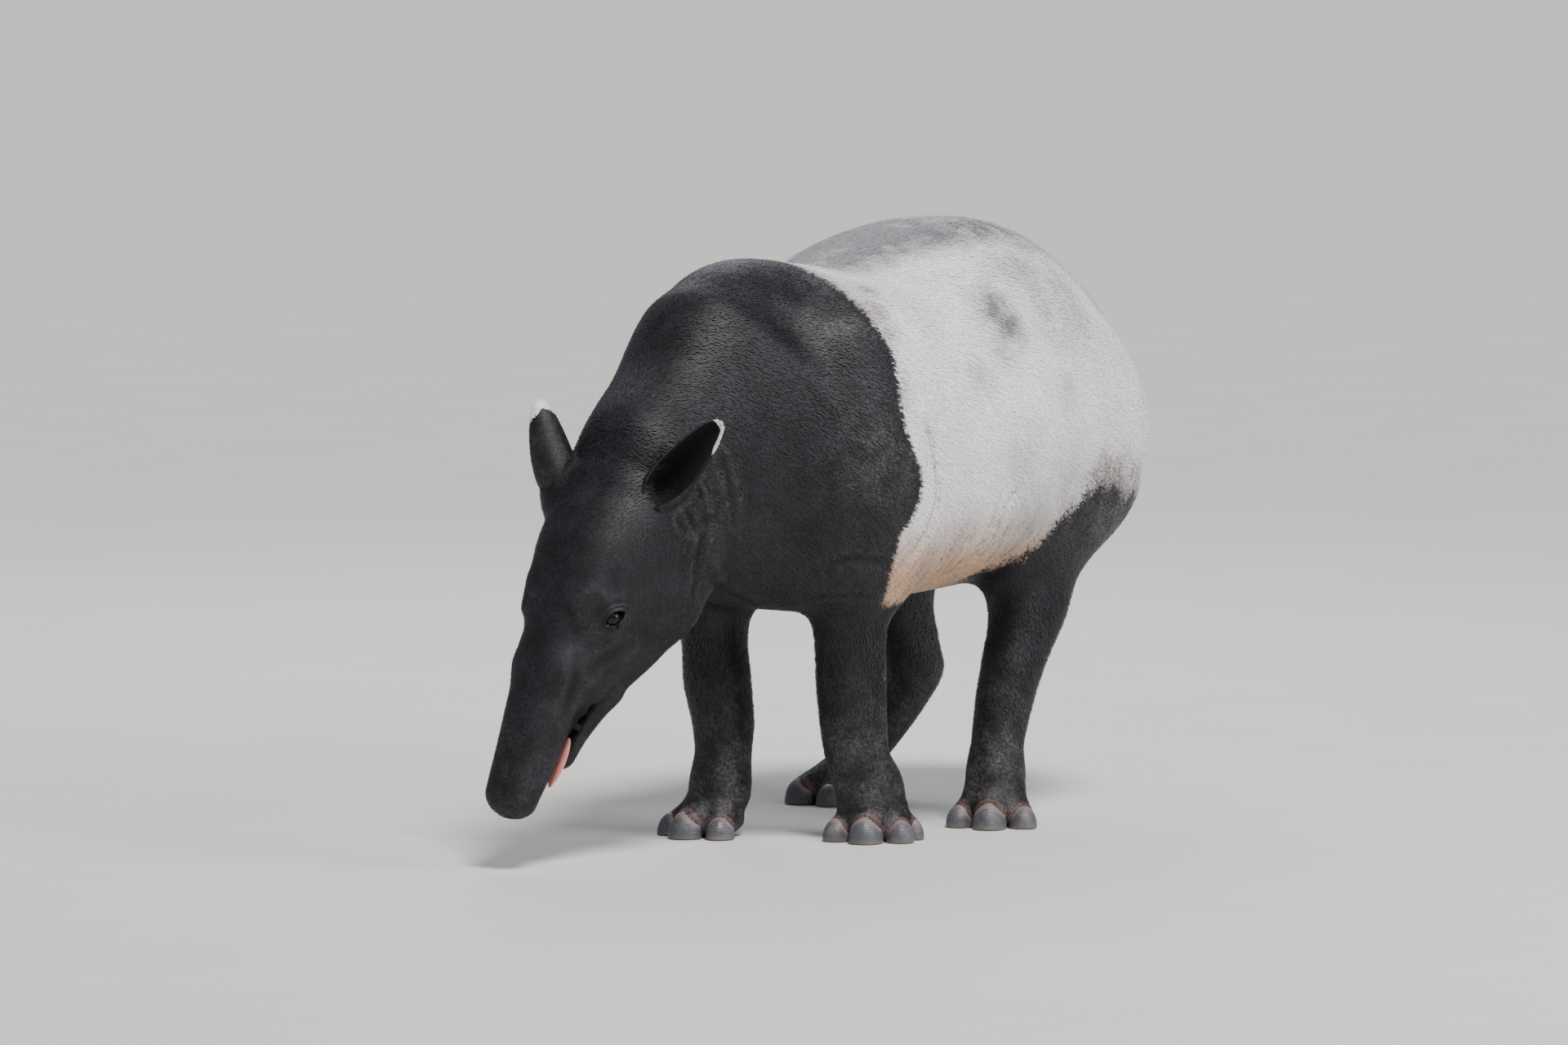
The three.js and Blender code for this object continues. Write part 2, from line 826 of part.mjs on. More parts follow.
// Head, with the sockets, the opening between the lids, and room for the lower jaw
const mouthRoom = boxIn(
  HEAD,
  [MOUTH_CORNER_ALONG - GAP / 2, -100, -300],
  [MANY, 100, UPPER_LIP_HEIGHT],
);
let headForm = solidOf(
  meshField(whole, HEAD, [-60, -140, -270], [SNOUT_CUT_ALONG, 140, 110], CELL.head),
)
  .intersect(ahead(HEAD_CUT, 0))
  .intersect(behind(HEAD, SNOUT_CUT_ALONG))
  .subtract(mouthRoom);
headForm = largest(headForm);
const headGrown = grown(headForm, GAP + 0.1);
for (const [name, frame] of Object.entries(EYES)) {
  const socket = Array(3).fill(EYE_RADIUS + GAP + 0.1);
  headForm = headForm
    .subtract(ballIn(frame, [0, 0, 0], socket))
    .subtract(
      ballIn(frame, [0, EYE_RADIUS * 0.9, 0], EYE_OPENING, 12, 6),
    );
  add(`eye_${name}`, ballIn(frame, [0, 0, 0], Array(3).fill(EYE_RADIUS)), "eye");
}
add("head", headForm, "black");

// Snout with its nostrils
const NOSTRIL = { along: 640, side: 17, up: -24, size: [20, 6, 13] };
let snoutForm = solidOf(
  meshField(
    proboscis,
    HEAD,
    [SNOUT_CUT_ALONG, -65, -75],
    [660, 65, 45],
    CELL.snout,
  ),
).intersect(ahead(HEAD, SNOUT_CUT_ALONG));
for (const left of [1, -1])
  snoutForm = snoutForm.subtract(
    ballIn(
      HEAD,
      [NOSTRIL.along, left * NOSTRIL.side, NOSTRIL.up],
      NOSTRIL.size,
      10,
      6,
    ),
  );
add("snout", snoutForm, "black");

// Lower jaw, whose top slopes away from the upper lip, and the tongue between the lips
const JAW_TOP = frameAlong(
  HEAD,
  [MOUTH_CORNER_ALONG, 0, LOWER_LIP_HEIGHT],
  [1, 0, -0.075],
  [0, 1, 0],
);
const lowerJaw = largest(
  solidOf(
    meshField(
      blendAll(skull, [jaw, 20]),
      HEAD,
      [MOUTH_CORNER_ALONG, -75, -155],
      [560, 75, LOWER_LIP_HEIGHT],
      CELL.jaw,
    ),
  )
    .intersect(ahead(HEAD, MOUTH_CORNER_ALONG))
    .intersect(boxIn(JAW_TOP, [-200, -200, -400], [400, 200, 0])),
);
add("lower_jaw", lowerJaw, "black");
const TONGUE = { at: [496, 25, -84], axis: [1, -0.1, -0.14], size: [48, 14, 7] };
const TONGUE_FRAME = frameAlong(HEAD, TONGUE.at, TONGUE.axis, [0, 1, 0]);
add(
  "tongue",
  ballIn(TONGUE_FRAME, [0, 0, 0], TONGUE.size, 12, 8)
    .intersect(ahead(HEAD, MOUTH_CORNER_ALONG))
    .subtract(grown(lowerJaw, GAP + 0.1))
    .subtract(grown(snoutForm, GAP + 0.1))
    .subtract(headGrown),
  "tongue",
);

// Ears: a thin cup, closed at its root and open towards the tip. Rows are [share of the length,
// radius of the cup, half of the angle that its wall goes round].
const EAR_ROWS = [
  [0, 33, 150],
  [0.14, 38, 132],
  [0.32, 38, 108],
  [0.52, 35, 92],
  [0.7, 30, 80],
  [0.84, 25, 68],
  [0.94, 19, 56],
  [1, 12, 42],
];
const EAR_AROUND = 10;
function earShell(frame, length) {
  const rings = EAR_ROWS.map(([t, radius, half]) => {
    const ring = [];
    const lean = (radius - EAR_ROWS[0][1]) * 0.55;
    for (const wall of [radius, radius - EAR_THICKNESS * (1 - 0.35 * t)])
      for (let j = 0; j <= EAR_AROUND; j += 1) {
        const k = wall === radius ? j : EAR_AROUND - j;
        const angle = radians(half) * ((2 * k) / EAR_AROUND - 1);
        ring.push(
          place(
            frame,
            t * length - 24 * (1 - t),
            lean - wall * Math.cos(angle),
            wall * Math.sin(angle),
          ),
        );
      }
    return ring;
  });
  const around = rings[0].length;
  const faces = [];
  for (let i = 0; i < rings.length - 1; i += 1)
    for (let j = 0; j < around; j += 1) {
      const a = i * around + j;
      const b = i * around + ((j + 1) % around);
      faces.push(a, b, b + around, a, b + around, a + around);
    }
  const last = (rings.length - 1) * around;
  for (let j = 0; j < EAR_AROUND; j += 1) {
    const k = around - 1 - j;
    faces.push(j, k, k - 1, j, k - 1, j + 1);
    faces.push(last + j, last + k - 1, last + k, last + j, last + j + 1, last + k - 1);
  }
  const points = rings.flat().flatMap((p) => [p.x, p.y, p.z]);
  const geometry = new THREE.BufferGeometry()
    .setAttribute("position", new THREE.Float32BufferAttribute(points, 3))
    .setIndex(faces);
  const shell = solidOf(geometry);
  if (shell.volume() > 0) return shell;
  geometry.index.array.reverse();
  return solidOf(geometry);
}
for (const [name, ear] of Object.entries(EARS)) {
  const frame = frameAlong(HEAD, ear.at, ear.axis, ear.mouth);
  add(
    `ear_${name}`,
    earShell(frame, ear.length).subtract(headGrown).subtract(neckGrown),
    "black",
  );
}

// Legs, feet and hooves
for (const [name, foot] of Object.entries(FEET)) {
  const [kind, side] = name.split("_");
  const [x, y] = foot.at;
  const knee = LEG_ROWS[name][5];
  const reach = 100;
  const legForm = blendAll(body, [feet[name], 30]);
  add(
    `${kind}_leg_${side}`,
    solidOf(
      meshField(
        legForm,
        LEG,
        [FOOT_CUT_Z, Math.min(x, knee[1]) - reach, Math.min(y, knee[2]) - reach],
        [LEG_CUT_Z, Math.max(x, knee[1]) + reach, Math.max(y, knee[2]) + reach],
        CELL.leg,
      ),
    )
      .intersect(above(FOOT_CUT_Z))
      .intersect(below(LEG_CUT_Z)),
    "black",
  );
  const frame = footFrame(foot);
  const fleshy = largest(
    solidOf(
      meshField(
        legForm,
        frame,
        [-110, -90, 0],
        [90, 90, FOOT_CUT_Z],
        CELL.foot,
      ),
    )
      .intersect(below(FOOT_CUT_Z))
      .intersect(above(-GAP / 2)),
  );
  add(`${kind}_foot_${side}`, fleshy, "black");
  const fleshGrown = grown(fleshy, GAP + 0.1);
  for (const [toeName, toe] of toesOf(foot)) {
    const ball = place(frame, toe.forward, toe.outward * foot.outer, 0);
    const toeFrame = lookingFrame(ball, foot.heading + toe.splay * foot.outer, 0, 0);
    add(
      `hoof_${name}_${toeName}`,
      ballIn(
        toeFrame,
        [2, 0, 4],
        [toe.radius + HOOF_REACH, toe.radius + 3, toe.radius + toe.height * 0.75],
        10,
        8,
      )
        .intersect(ahead(toeFrame, -4))
        .intersect(above(-GAP / 2))
        .subtract(fleshGrown),
      "hoof",
    );
  }
}

// Stands the animal with the middle of its bounding box over the origin and its feet at height zero.
const bounds = new THREE.Box3().setFromObject(root, true);
const shift = bounds.getCenter(new THREE.Vector3()).setZ(0).negate();
root.children.forEach((mesh) => mesh.geometry.translate(shift.x, shift.y, 0));

export default root;
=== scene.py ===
"""A Malayan tapir standing with its head lowered, as a life-size still figure.

The body is one smooth form, the same lofts and ellipsoids as the solids, meshed finely as a skin a
little inside them. Short hair stands on the skin in flat tufts. Forms are worked out in millimetres,
in a frame where the animal faces -Y and its left side is +X; meshes are in metres.
"""
import json
import math

import bpy
import numpy as np
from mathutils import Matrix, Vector

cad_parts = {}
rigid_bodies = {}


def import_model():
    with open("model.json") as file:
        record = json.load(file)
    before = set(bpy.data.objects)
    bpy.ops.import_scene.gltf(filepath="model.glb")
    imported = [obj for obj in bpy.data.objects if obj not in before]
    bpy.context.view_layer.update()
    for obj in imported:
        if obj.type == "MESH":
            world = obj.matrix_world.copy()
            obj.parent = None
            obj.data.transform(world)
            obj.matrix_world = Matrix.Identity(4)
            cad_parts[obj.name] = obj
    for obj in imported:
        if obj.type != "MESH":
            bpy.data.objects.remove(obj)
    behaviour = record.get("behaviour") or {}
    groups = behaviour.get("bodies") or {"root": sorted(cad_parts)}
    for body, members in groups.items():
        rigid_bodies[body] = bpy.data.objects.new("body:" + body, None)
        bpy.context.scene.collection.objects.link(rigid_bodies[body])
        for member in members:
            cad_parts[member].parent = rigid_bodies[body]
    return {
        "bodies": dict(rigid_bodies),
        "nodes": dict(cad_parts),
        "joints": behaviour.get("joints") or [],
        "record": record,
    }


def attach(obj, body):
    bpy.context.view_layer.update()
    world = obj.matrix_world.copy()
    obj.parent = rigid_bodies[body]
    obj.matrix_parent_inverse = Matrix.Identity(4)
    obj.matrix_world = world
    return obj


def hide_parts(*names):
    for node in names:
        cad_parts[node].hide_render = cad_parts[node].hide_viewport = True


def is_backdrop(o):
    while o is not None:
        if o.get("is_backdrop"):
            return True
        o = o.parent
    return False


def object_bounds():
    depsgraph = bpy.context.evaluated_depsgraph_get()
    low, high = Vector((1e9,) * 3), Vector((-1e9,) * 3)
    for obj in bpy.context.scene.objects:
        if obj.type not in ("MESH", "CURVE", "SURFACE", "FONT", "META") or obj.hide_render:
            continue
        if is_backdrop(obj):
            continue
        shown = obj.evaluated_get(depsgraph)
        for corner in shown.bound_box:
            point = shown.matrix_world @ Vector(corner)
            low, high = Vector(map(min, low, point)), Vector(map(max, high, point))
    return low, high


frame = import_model()
CAD_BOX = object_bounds()
rng = np.random.default_rng(7)

# From the frame of the forms to the part's own frame, in millimetres
SHIFT = np.array([11.723, 74.553, 0.0])

# Pose of the head and the neck, as in the solids
SKULL = (8, -661, 660)
HEAD_TURN = (-17, 62.5, 17)
NECK_BASE = (0, -250, 740)
NECK_TURN = (0, 35, 0)

EYE_AT = (250, 83, 8)
EYE_RADIUS = 18
LID_THICKNESS = 4.5
EYE_TILT = 28
EYE_OPENING = (19.5, 9)

EAR_THICKNESS = 5
EARS = {
    "left": dict(at=(16, 98, 30), axis=(-0.78, 0.56, 0.28), mouth=(0.5, 0.25, 0.75), length=157),
    "right": dict(at=(40, -108, 50), axis=(-0.78, -0.48, 0.42), mouth=(0.1, -0.7, -0.6), length=134),
}

MOUTH_CORNER = 384
UPPER_LIP = -72
LOWER_LIP = -78
NOSTRIL_AT = (640, 17, -24)
NOSTRIL_SIZE = (20, 6, 13)


# Frames: an origin and three unit vectors, along, side and up
class Frame:
    def __init__(self, origin, along, side, up):
        self.origin = np.array(origin, float)
        self.axes = np.array([along, side, up], float).T

    def inside(self, points):
        return (points - self.origin) @ self.axes

    def place(self, a, s, u):
        return self.origin + self.axes @ np.array([a, s, u], float)

    def direction(self, a, s, u):
        return self.axes @ np.array([a, s, u], float)


def turned(degrees, axis):
    c, s = math.cos(math.radians(degrees)), math.sin(math.radians(degrees))
    if axis == "x":
        return np.array([[1, 0, 0], [0, c, -s], [0, s, c]])
    if axis == "y":
        return np.array([[c, 0, s], [0, 1, 0], [-s, 0, c]])
    return np.array([[c, -s, 0], [s, c, 0], [0, 0, 1]])


def looking(origin, yaw, pitch, roll):
    """A frame that looks forward, turned left by yaw, down by pitch and about its length by roll."""
    turn = turned(yaw, "z") @ turned(pitch, "x") @ turned(roll, "y")
    return Frame(origin, turn @ [0, -1, 0], turn @ [1, 0, 0], turn @ [0, 0, 1])


def frame_along(base, origin, along, side):
    a = base.direction(*along)
    a /= np.linalg.norm(a)
    s = base.direction(*side)
    s -= a * (a @ s)
    s /= np.linalg.norm(s)
    return Frame(base.place(*origin), a, s, np.cross(a, s))


BODY = looking((0, 0, 0), 0, 0, 0)
LEG = Frame((0, 0, 0), (0, 0, 1), (1, 0, 0), (0, 1, 0))
HEAD = looking(SKULL, *HEAD_TURN)
NECK = looking(NECK_BASE, *NECK_TURN)


# Forms: a value that is negative inside and about the distance outside, and a box that holds them
class Form:
    def __init__(self, value, corners):
        self.value = value
        corners = np.array(corners)
        self.low = corners.min(0)
        self.high = corners.max(0)

    def near(self, points, reach):
        return np.all((points > self.low - reach) & (points < self.high + reach), axis=1)


def box_corners(frame, low, high):
    return [frame.place(*[(low, high)[(n >> axis) & 1][axis] for axis in range(3)]) for n in range(8)]


def curve_through(rows, steps=24):
    """Rows of (t, values...) as a table of a smooth curve through them, close enough to read straight."""
    rows = np.array(rows, float)
    t, v = rows[:, 0], rows[:, 1:]
    slopes = np.empty_like(v)
    slopes[1:-1] = (v[2:] - v[:-2]) / (t[2:] - t[:-2])[:, None]
    slopes[0] = (v[1] - v[0]) / (t[1] - t[0])
    slopes[-1] = (v[-1] - v[-2]) / (t[-1] - t[-2])
    out_t, out_v = [], []
    for i in range(len(rows) - 1):
        f = np.linspace(0, 1, steps, endpoint=i == len(rows) - 2)[:, None]
        span = t[i + 1] - t[i]
        out_t.append(t[i] + f[:, 0] * span)
        out_v.append(
            (2 * f**3 - 3 * f**2 + 1) * v[i]
            + (f**3 - 2 * f**2 + f) * span * slopes[i]
            + (3 * f**2 - 2 * f**3) * v[i + 1]
            + (f**3 - f**2) * span * slopes[i + 1]
        )
    return np.concatenate(out_t), np.concatenate(out_v)


def loft(frame, rows, start_cap, end_cap):
    """Rows are (along, side, middle, half width, top, bottom, squareness); both ends are round."""
    table_t, table = curve_through(rows)
    first, last = rows[0][0], rows[-1][0]

    def value(points):
        a, s, u = frame.inside(points).T
        side, middle, width, top, bottom, square = (
            np.interp(a, table_t, column) for column in table.T
        )
        s = s - side
        u = u - middle
        height = np.where(u > 0, top - middle, middle - bottom)
        round_part = (np.abs(s / width) ** square + np.abs(u / height) ** square) ** (1 / square)
        before = np.clip((first + start_cap - a) / start_cap, 0, None)
        after = np.clip((a - last + end_cap) / end_cap, 0, None)
        cap = before + after
        cap_length = before * start_cap + after * end_cap
        ratio = np.maximum(np.hypot(round_part, cap), 1e-6)
        length = np.sqrt(s * s + u * u + cap_length**2)
        return np.where(length < 1e-6, -np.minimum(width, height), length * (1 - 1 / ratio))

    array = np.array(rows, float)
    sides = np.concatenate([array[:, 1] - array[:, 3], array[:, 1] + array[:, 3]])
    low = (first, sides.min(), array[:, 5].min())
    high = (last, sides.max(), array[:, 4].max())
    return Form(value, box_corners(frame, low, high))


def ellipsoid(frame, centre, radii):
    centre = np.array(centre, float)
    radii = np.array(radii, float)

    def value(points):
        q = (frame.inside(points) - centre) / radii
        near = np.linalg.norm(q, axis=1)
        steep = np.maximum(np.linalg.norm(q / radii, axis=1), 1e-9)
        return near * (near - 1) / steep

    return Form(value, box_corners(frame, centre - radii, centre + radii))


def round_cone(frame, p, rp, q, rq):
    start, end = frame.place(*p), frame.place(*q)
    axis = end - start

    def value(points):
        off = points - start
        t = np.clip(off @ axis / (axis @ axis), 0, 1)
        return np.linalg.norm(off - t[:, None] * axis, axis=1) - rp - t * (rq - rp)

    r = max(rp, rq)
    return Form(value, [start - r, start + r, end - r, end + r])


def smooth_min(a, b, blend):
    h = np.maximum(blend - np.abs(a - b), 0) / blend
    return np.minimum(a, b) - h * h * blend / 4


def smooth_max(a, b, blend):
    return -smooth_min(-a, -b, blend)


FAR = 1000.0


def length_of(v):
    return np.linalg.norm(v, axis=1)


def unit(v):
    return v / np.maximum(length_of(v), 1e-9)[:, None]


def step(x, low, high):
    t = np.clip((x - low) / (high - low), 0, 1)
    return t * t * (3 - 2 * t)


def bell(x, width):
    return np.exp(-((x / width) ** 2))


def join(points, forms, reach):
    """Blends (form, blend) pairs in order, each only where it can matter within reach of the surface."""
    d = np.full(len(points), FAR)
    for form, blend in forms:
        near = form.near(points, blend + reach)
        if near.any():
            d[near] = smooth_min(d[near], form.value(points[near]), blend)
    return d


def cut_away(d, points, form, blend, reach):
    """Takes a form out of the values d of the points, in place."""
    near = form.near(points, reach)
    if near.any():
        d[near] = smooth_max(d[near], -form.value(points[near]), blend)


def mirrored(frame, rows):
    """Ellipsoids on both sides, from rows of (centre, radii, blend)."""
    return [
        (ellipsoid(frame, (a, left * s, u), radii), blend)
        for left in (1, -1)
        for (a, s, u), radii, blend in rows
    ]


# Trunk and neck
TRUNK_ROWS = [
    (-750, 0, 720, 206, 780, 580, 2.05), (-640, 0, 712, 210, 882, 560, 2.05),
    (-515, 0, 700, 246, 998, 510, 2.08), (-380, 0, 680, 288, 1063, 450, 2.12),
    (-240, 0, 665, 312, 1079, 421, 2.2), (-120, 0, 655, 323, 1067, 411, 2.22),
    (0, 0, 648, 312, 1040, 407, 2.2), (110, 0, 645, 296, 1008, 408, 2.2),
    (200, 0, 645, 275, 984, 412, 2.2), (330, 0, 640, 245, 930, 432, 2.2),
    (440, 0, 620, 225, 840, 435, 2.2),
]
NECK_ROWS = [
    (0, 0, 5, 195, 275, -230, 2.2), (120, 0, 45, 180, 290, -210, 2.2),
    (240, 0, 80, 154, 288, -150, 2.2), (330, 0, 95, 138, 276, -95, 2.2),
    (430, 0, 75, 118, 214, -55, 2.2),
]
TRUNK_FORMS = [
    (loft(BODY, TRUNK_ROWS, 240, 200), 1),
    (ellipsoid(BODY, (326, 0, 874), (205, 140, 150)), 90),
    (ellipsoid(BODY, (300, 0, 515), (170, 150, 100)), 60),
]
# Shoulders, elbows, haunches and the backs of the thighs
TRUNK_FORMS += mirrored(BODY, [
    ((228, 168, 685), (150, 98, 255), 130), ((190, 160, 502), (90, 78, 108), 50),
    ((-405, 180, 662), (205, 118, 200), 70), ((-550, 102, 688), (114, 102, 162), 60),
])
TRUNK_FORMS.append((loft(NECK, NECK_ROWS, 80, 80), 90))

# Legs: rows are (height, left, back, half width, reach behind, reach ahead)
LEG_ROWS = {
    "fore_left": [
        (40, 152, -144, 54, 58, 62), (90, 144, -156, 55, 58, 60), (150, 134, -170, 55, 58, 60),
        (200, 126, -170, 57, 61, 62), (270, 122, -172, 60, 64, 64), (350, 124, -180, 60, 72, 66),
        (440, 140, -198, 74, 84, 86), (560, 155, -218, 90, 118, 115), (660, 160, -225, 90, 130, 120),
    ],
    "fore_right": [
        (40, -110, -253, 49, 53, 57), (90, -106, -244, 46, 51, 50), (150, -105, -241, 49, 52, 52),
        (200, -106, -241, 54, 57, 57), (270, -115, -246, 59, 63, 61), (350, -122, -245, 57, 64, 64),
        (440, -132, -240, 74, 86, 85), (560, -150, -235, 90, 130, 120),
        (660, -160, -225, 90, 130, 125),
    ],
    "hind_left": [
        (40, 196, 164, 45, 50, 52), (90, 192, 171, 43, 47, 50), (160, 189, 188, 46, 51, 53),
        (230, 188, 212, 51, 58, 60), (290, 190, 235, 56, 66, 64), (360, 190, 270, 64, 81, 74),
        (440, 180, 298, 74, 108, 98), (560, 181, 342, 90, 152, 140), (660, 188, 375, 95, 158, 150),
    ],
    "hind_right": [
        (40, -252, 326, 44, 50, 46), (90, -234, 378, 42, 54, 44), (160, -202, 420, 43, 60, 54),
        (230, -174, 443, 46, 62, 68), (290, -165, 415, 50, 60, 74), (360, -163, 372, 60, 76, 84),
        (440, -168, 362, 76, 108, 105), (560, -182, 372, 92, 150, 145),
        (660, -188, 380, 95, 150, 150),
    ],
}
LEG_BLEND = {"fore_left": 30, "fore_right": 30, "hind_left": 60, "hind_right": 60}
for name, rows in LEG_ROWS.items():
    stack = [(z, x, y, half, y + behind, y - ahead, 2.2) for z, x, y, half, behind, ahead in rows]
    TRUNK_FORMS.append((loft(LEG, stack, 30, 60), LEG_BLEND[name]))

TAIL = Frame((0, 706, 800), (0, 0.72, -0.694), (-1, 0, 0), (0, 0.694, 0.72))
TAIL_FORMS = [
    (round_cone(TAIL, (-30, 0, 0), 36, (30, 0, 0), 23), 1),
    (round_cone(TAIL, (20, 0, 0), 24, (82, 0, 0), 12), 15),
]

# Head. Its frame runs from the back of the skull to the tip of the trunk.
SKULL_ROWS = [
    (-19, 0, -20, 108, 60, -160, 2.3), (38, 0, -20, 117, 80, -200, 2.3),
    (96, 0, -20, 118, 92, -232, 2.35), (172, 0, -20, 113, 93, -243, 2.4),
    (249, 0, -20, 91, 80, -222, 2.4), (315, 0, -18, 76, 63, -183, 2.4),
    (382, 0, -15, 67, 47, -141, 2.4), (421, 0, -15, 60, 40, -124, 2.4),
]
PROBOSCIS_ROWS = [
    (315, 0, 0, 71, 59, -62, 2.4), (382, 0, -2, 62, 45, -58, 2.4), (449, 0, -8, 57, 35, -70, 2.4),
    (516, 0, -18, 52, 20, -74, 2.5), (574, 0, -27, 48, 9, -68, 2.6), (624, 0, -33, 44, -2, -66, 2.6),
]
JAW_ROWS = [
    (315, 0, -108, 69, -30, -180, 2.4), (382, 0, -100, 58, -50, -142, 2.4),
    (440, 0, -94, 48, -60, -121, 2.4), (480, 0, -94, 42, -67, -116, 2.4),
    (510, 0, -96, 36, -72, -114, 2.4),
]
HEAD_FORMS = [
    (loft(HEAD, SKULL_ROWS, 50, 60), 1),
    (loft(HEAD, PROBOSCIS_ROWS, 60, 34), 30),
    (loft(HEAD, JAW_ROWS, 40, 26), 20),
    (ellipsoid(HEAD, (-24, 0, 22), (74, 86, 58)), 50),
]
# Cheeks, cheekbones, brows and the bulges of the eyes
HEAD_FORMS += mirrored(HEAD, [
    ((142, 70, -114), (104, 48, 96), 40), ((200, 80, -8), (85, 24, 30), 30),
    ((238, 60, 52), (46, 16, 14), 24), (EYE_AT, [EYE_RADIUS + LID_THICKNESS] * 3, 12),
])
for ear_root in ((38, 68, 2), (62, -104, 24)):
    HEAD_FORMS.append((ellipsoid(HEAD, ear_root, (46, 34, 36)), 30))
EAR_FRAMES = {
    side: frame_along(HEAD, ear["at"], ear["axis"], ear["mouth"]) for side, ear in EARS.items()
}
HEAD_FORMS.append((round_cone(EAR_FRAMES["right"], (-34, 0, 0), 28, (16, 0, 0), 31), 36))
EAR_HOLLOWS = [ellipsoid(base, (16, 0, 0), (36, 25, 25)) for base in EAR_FRAMES.values()]
NOSTRILS = mirrored(HEAD, [(NOSTRIL_AT, NOSTRIL_SIZE, 6)])

# Feet
FEET = {
    "fore_left": dict(at=(155, -153), heading=24, outer=1, fore=True, leaning=False),
    "fore_right": dict(at=(-114, -270), heading=-6, outer=-1, fore=True, leaning=False),
    "hind_left": dict(at=(203, 154), heading=26, outer=1, fore=False, leaning=False),
    "hind_right": dict(at=(-253, 293), heading=-26, outer=-1, fore=False, leaning=True),
}
TOES = {
    "middle": dict(forward=56, outward=0, radius=28, height=25, splay=0),
    "inner": dict(forward=30, outward=-54, radius=23, height=20, splay=-26),
    "outer": dict(forward=30, outward=54, radius=23, height=20, splay=26),
    "small": dict(forward=-16, outward=66, radius=15, height=27, splay=62),
}
ANKLE_HEIGHT = 50
HOOF_REACH = 9


def foot_frame(foot):
    return looking((foot["at"][0], foot["at"][1], 0), foot["heading"], 0, 0)


def toes_of(foot):
    return {name: toe for name, toe in TOES.items() if foot["fore"] or name != "small"}


FOOT_FORMS = []
for foot in FEET.values():
    base = foot_frame(foot)
    heel = ((-44, 0, 62), (46, 44, 44)) if foot["leaning"] else ((-22, 0, 84), (48, 48, 60))
    forms = [(ellipsoid(base, *heel), 1), (ellipsoid(base, (-4, 0, 30), (58, 60, 34)), 20)]
    for toe in toes_of(foot).values():
        outward = toe["outward"] * foot["outer"]
        ankle = (toe["forward"] * 0.1 - 12, outward * 0.45, ANKLE_HEIGHT)
        ball = (toe["forward"], outward, toe["height"])
        forms.append((round_cone(base, ankle, toe["radius"] + 4, ball, toe["radius"]), 14))
    FOOT_FORMS.append(forms)

EYE_FRAMES = {
    name: frame_along(
        HEAD,
        (EYE_AT[0], left * EYE_AT[1], EYE_AT[2]),
        (math.cos(math.radians(EYE_TILT)), -left * 0.25, math.sin(math.radians(EYE_TILT))),
        (0.24, left * 0.84, 0.48),
    )
    for name, left in (("left", 1), ("right", -1))
}
JAW_TOP = frame_along(HEAD, (MOUTH_CORNER, 0, LOWER_LIP), (1, 0, -0.075), (0, 1, 0))


def lid_gap(points):
    """How far outside both eye openings each point is, from the sides of two crossing arcs."""
    gap = np.full(len(points), FAR)
    for base in EYE_FRAMES.values():
        q = base.inside(points)
        near = (np.abs(q[:, 0]) < 60) & (np.abs(q[:, 2]) < 60) & (q[:, 1] > -10) & (q[:, 1] < 60)
        a, _, t = q[near].T
        length, height = EYE_OPENING
        arc = (length**2 + height**2) / (2 * height)
        over = np.hypot(a, t - (height - arc)) - arc
        under = np.hypot(a, t + (height - arc)) - arc
        gap[near] = np.minimum(gap[near], smooth_max(over, under, 3))
    return gap


def mouth_value(points):
    """Negative between the lips, a wedge that widens towards the front."""
    q = HEAD.inside(points)
    wedge = smooth_max(q[:, 2] - UPPER_LIP, -JAW_TOP.inside(points)[:, 2], 3)
    # A wall along the middle keeps the mouth from being seen through
    wedge = smooth_max(wedge, 8 - np.abs(q[:, 1] + 4), 4)
    return smooth_max(wedge, MOUTH_CORNER - q[:, 0], 8)


def head_value(points, reach):
    d = join(points, HEAD_FORMS, reach)
    q = HEAD.inside(points)
    mouth = (q[:, 0] > MOUTH_CORNER - 40) & (q[:, 2] < UPPER_LIP + 30) & (q[:, 2] > -150)
    d[mouth] = smooth_max(d[mouth], -mouth_value(points[mouth]), 7)
    for pit, blend in NOSTRILS:
        cut_away(d, points, pit, blend, 20)
    # Openings between the lids
    gap = lid_gap(points)
    near = gap < 20
    d[near] = smooth_max(d[near], -gap[near], 3)
    return d


def body_value(points, reach):
    """The whole animal, without its ears and hooves."""
    d = join(points, TRUNK_FORMS, reach)
    d = smooth_min(d, join(points, TAIL_FORMS, reach), 26)
    d = smooth_min(d, head_value(points, reach), 60)
    for forms in FOOT_FORMS:
        near = forms[0][0].near(points, 120 + reach)
        if near.any():
            d[near] = smooth_min(d[near], join(points[near], forms, reach), 30)
    return d


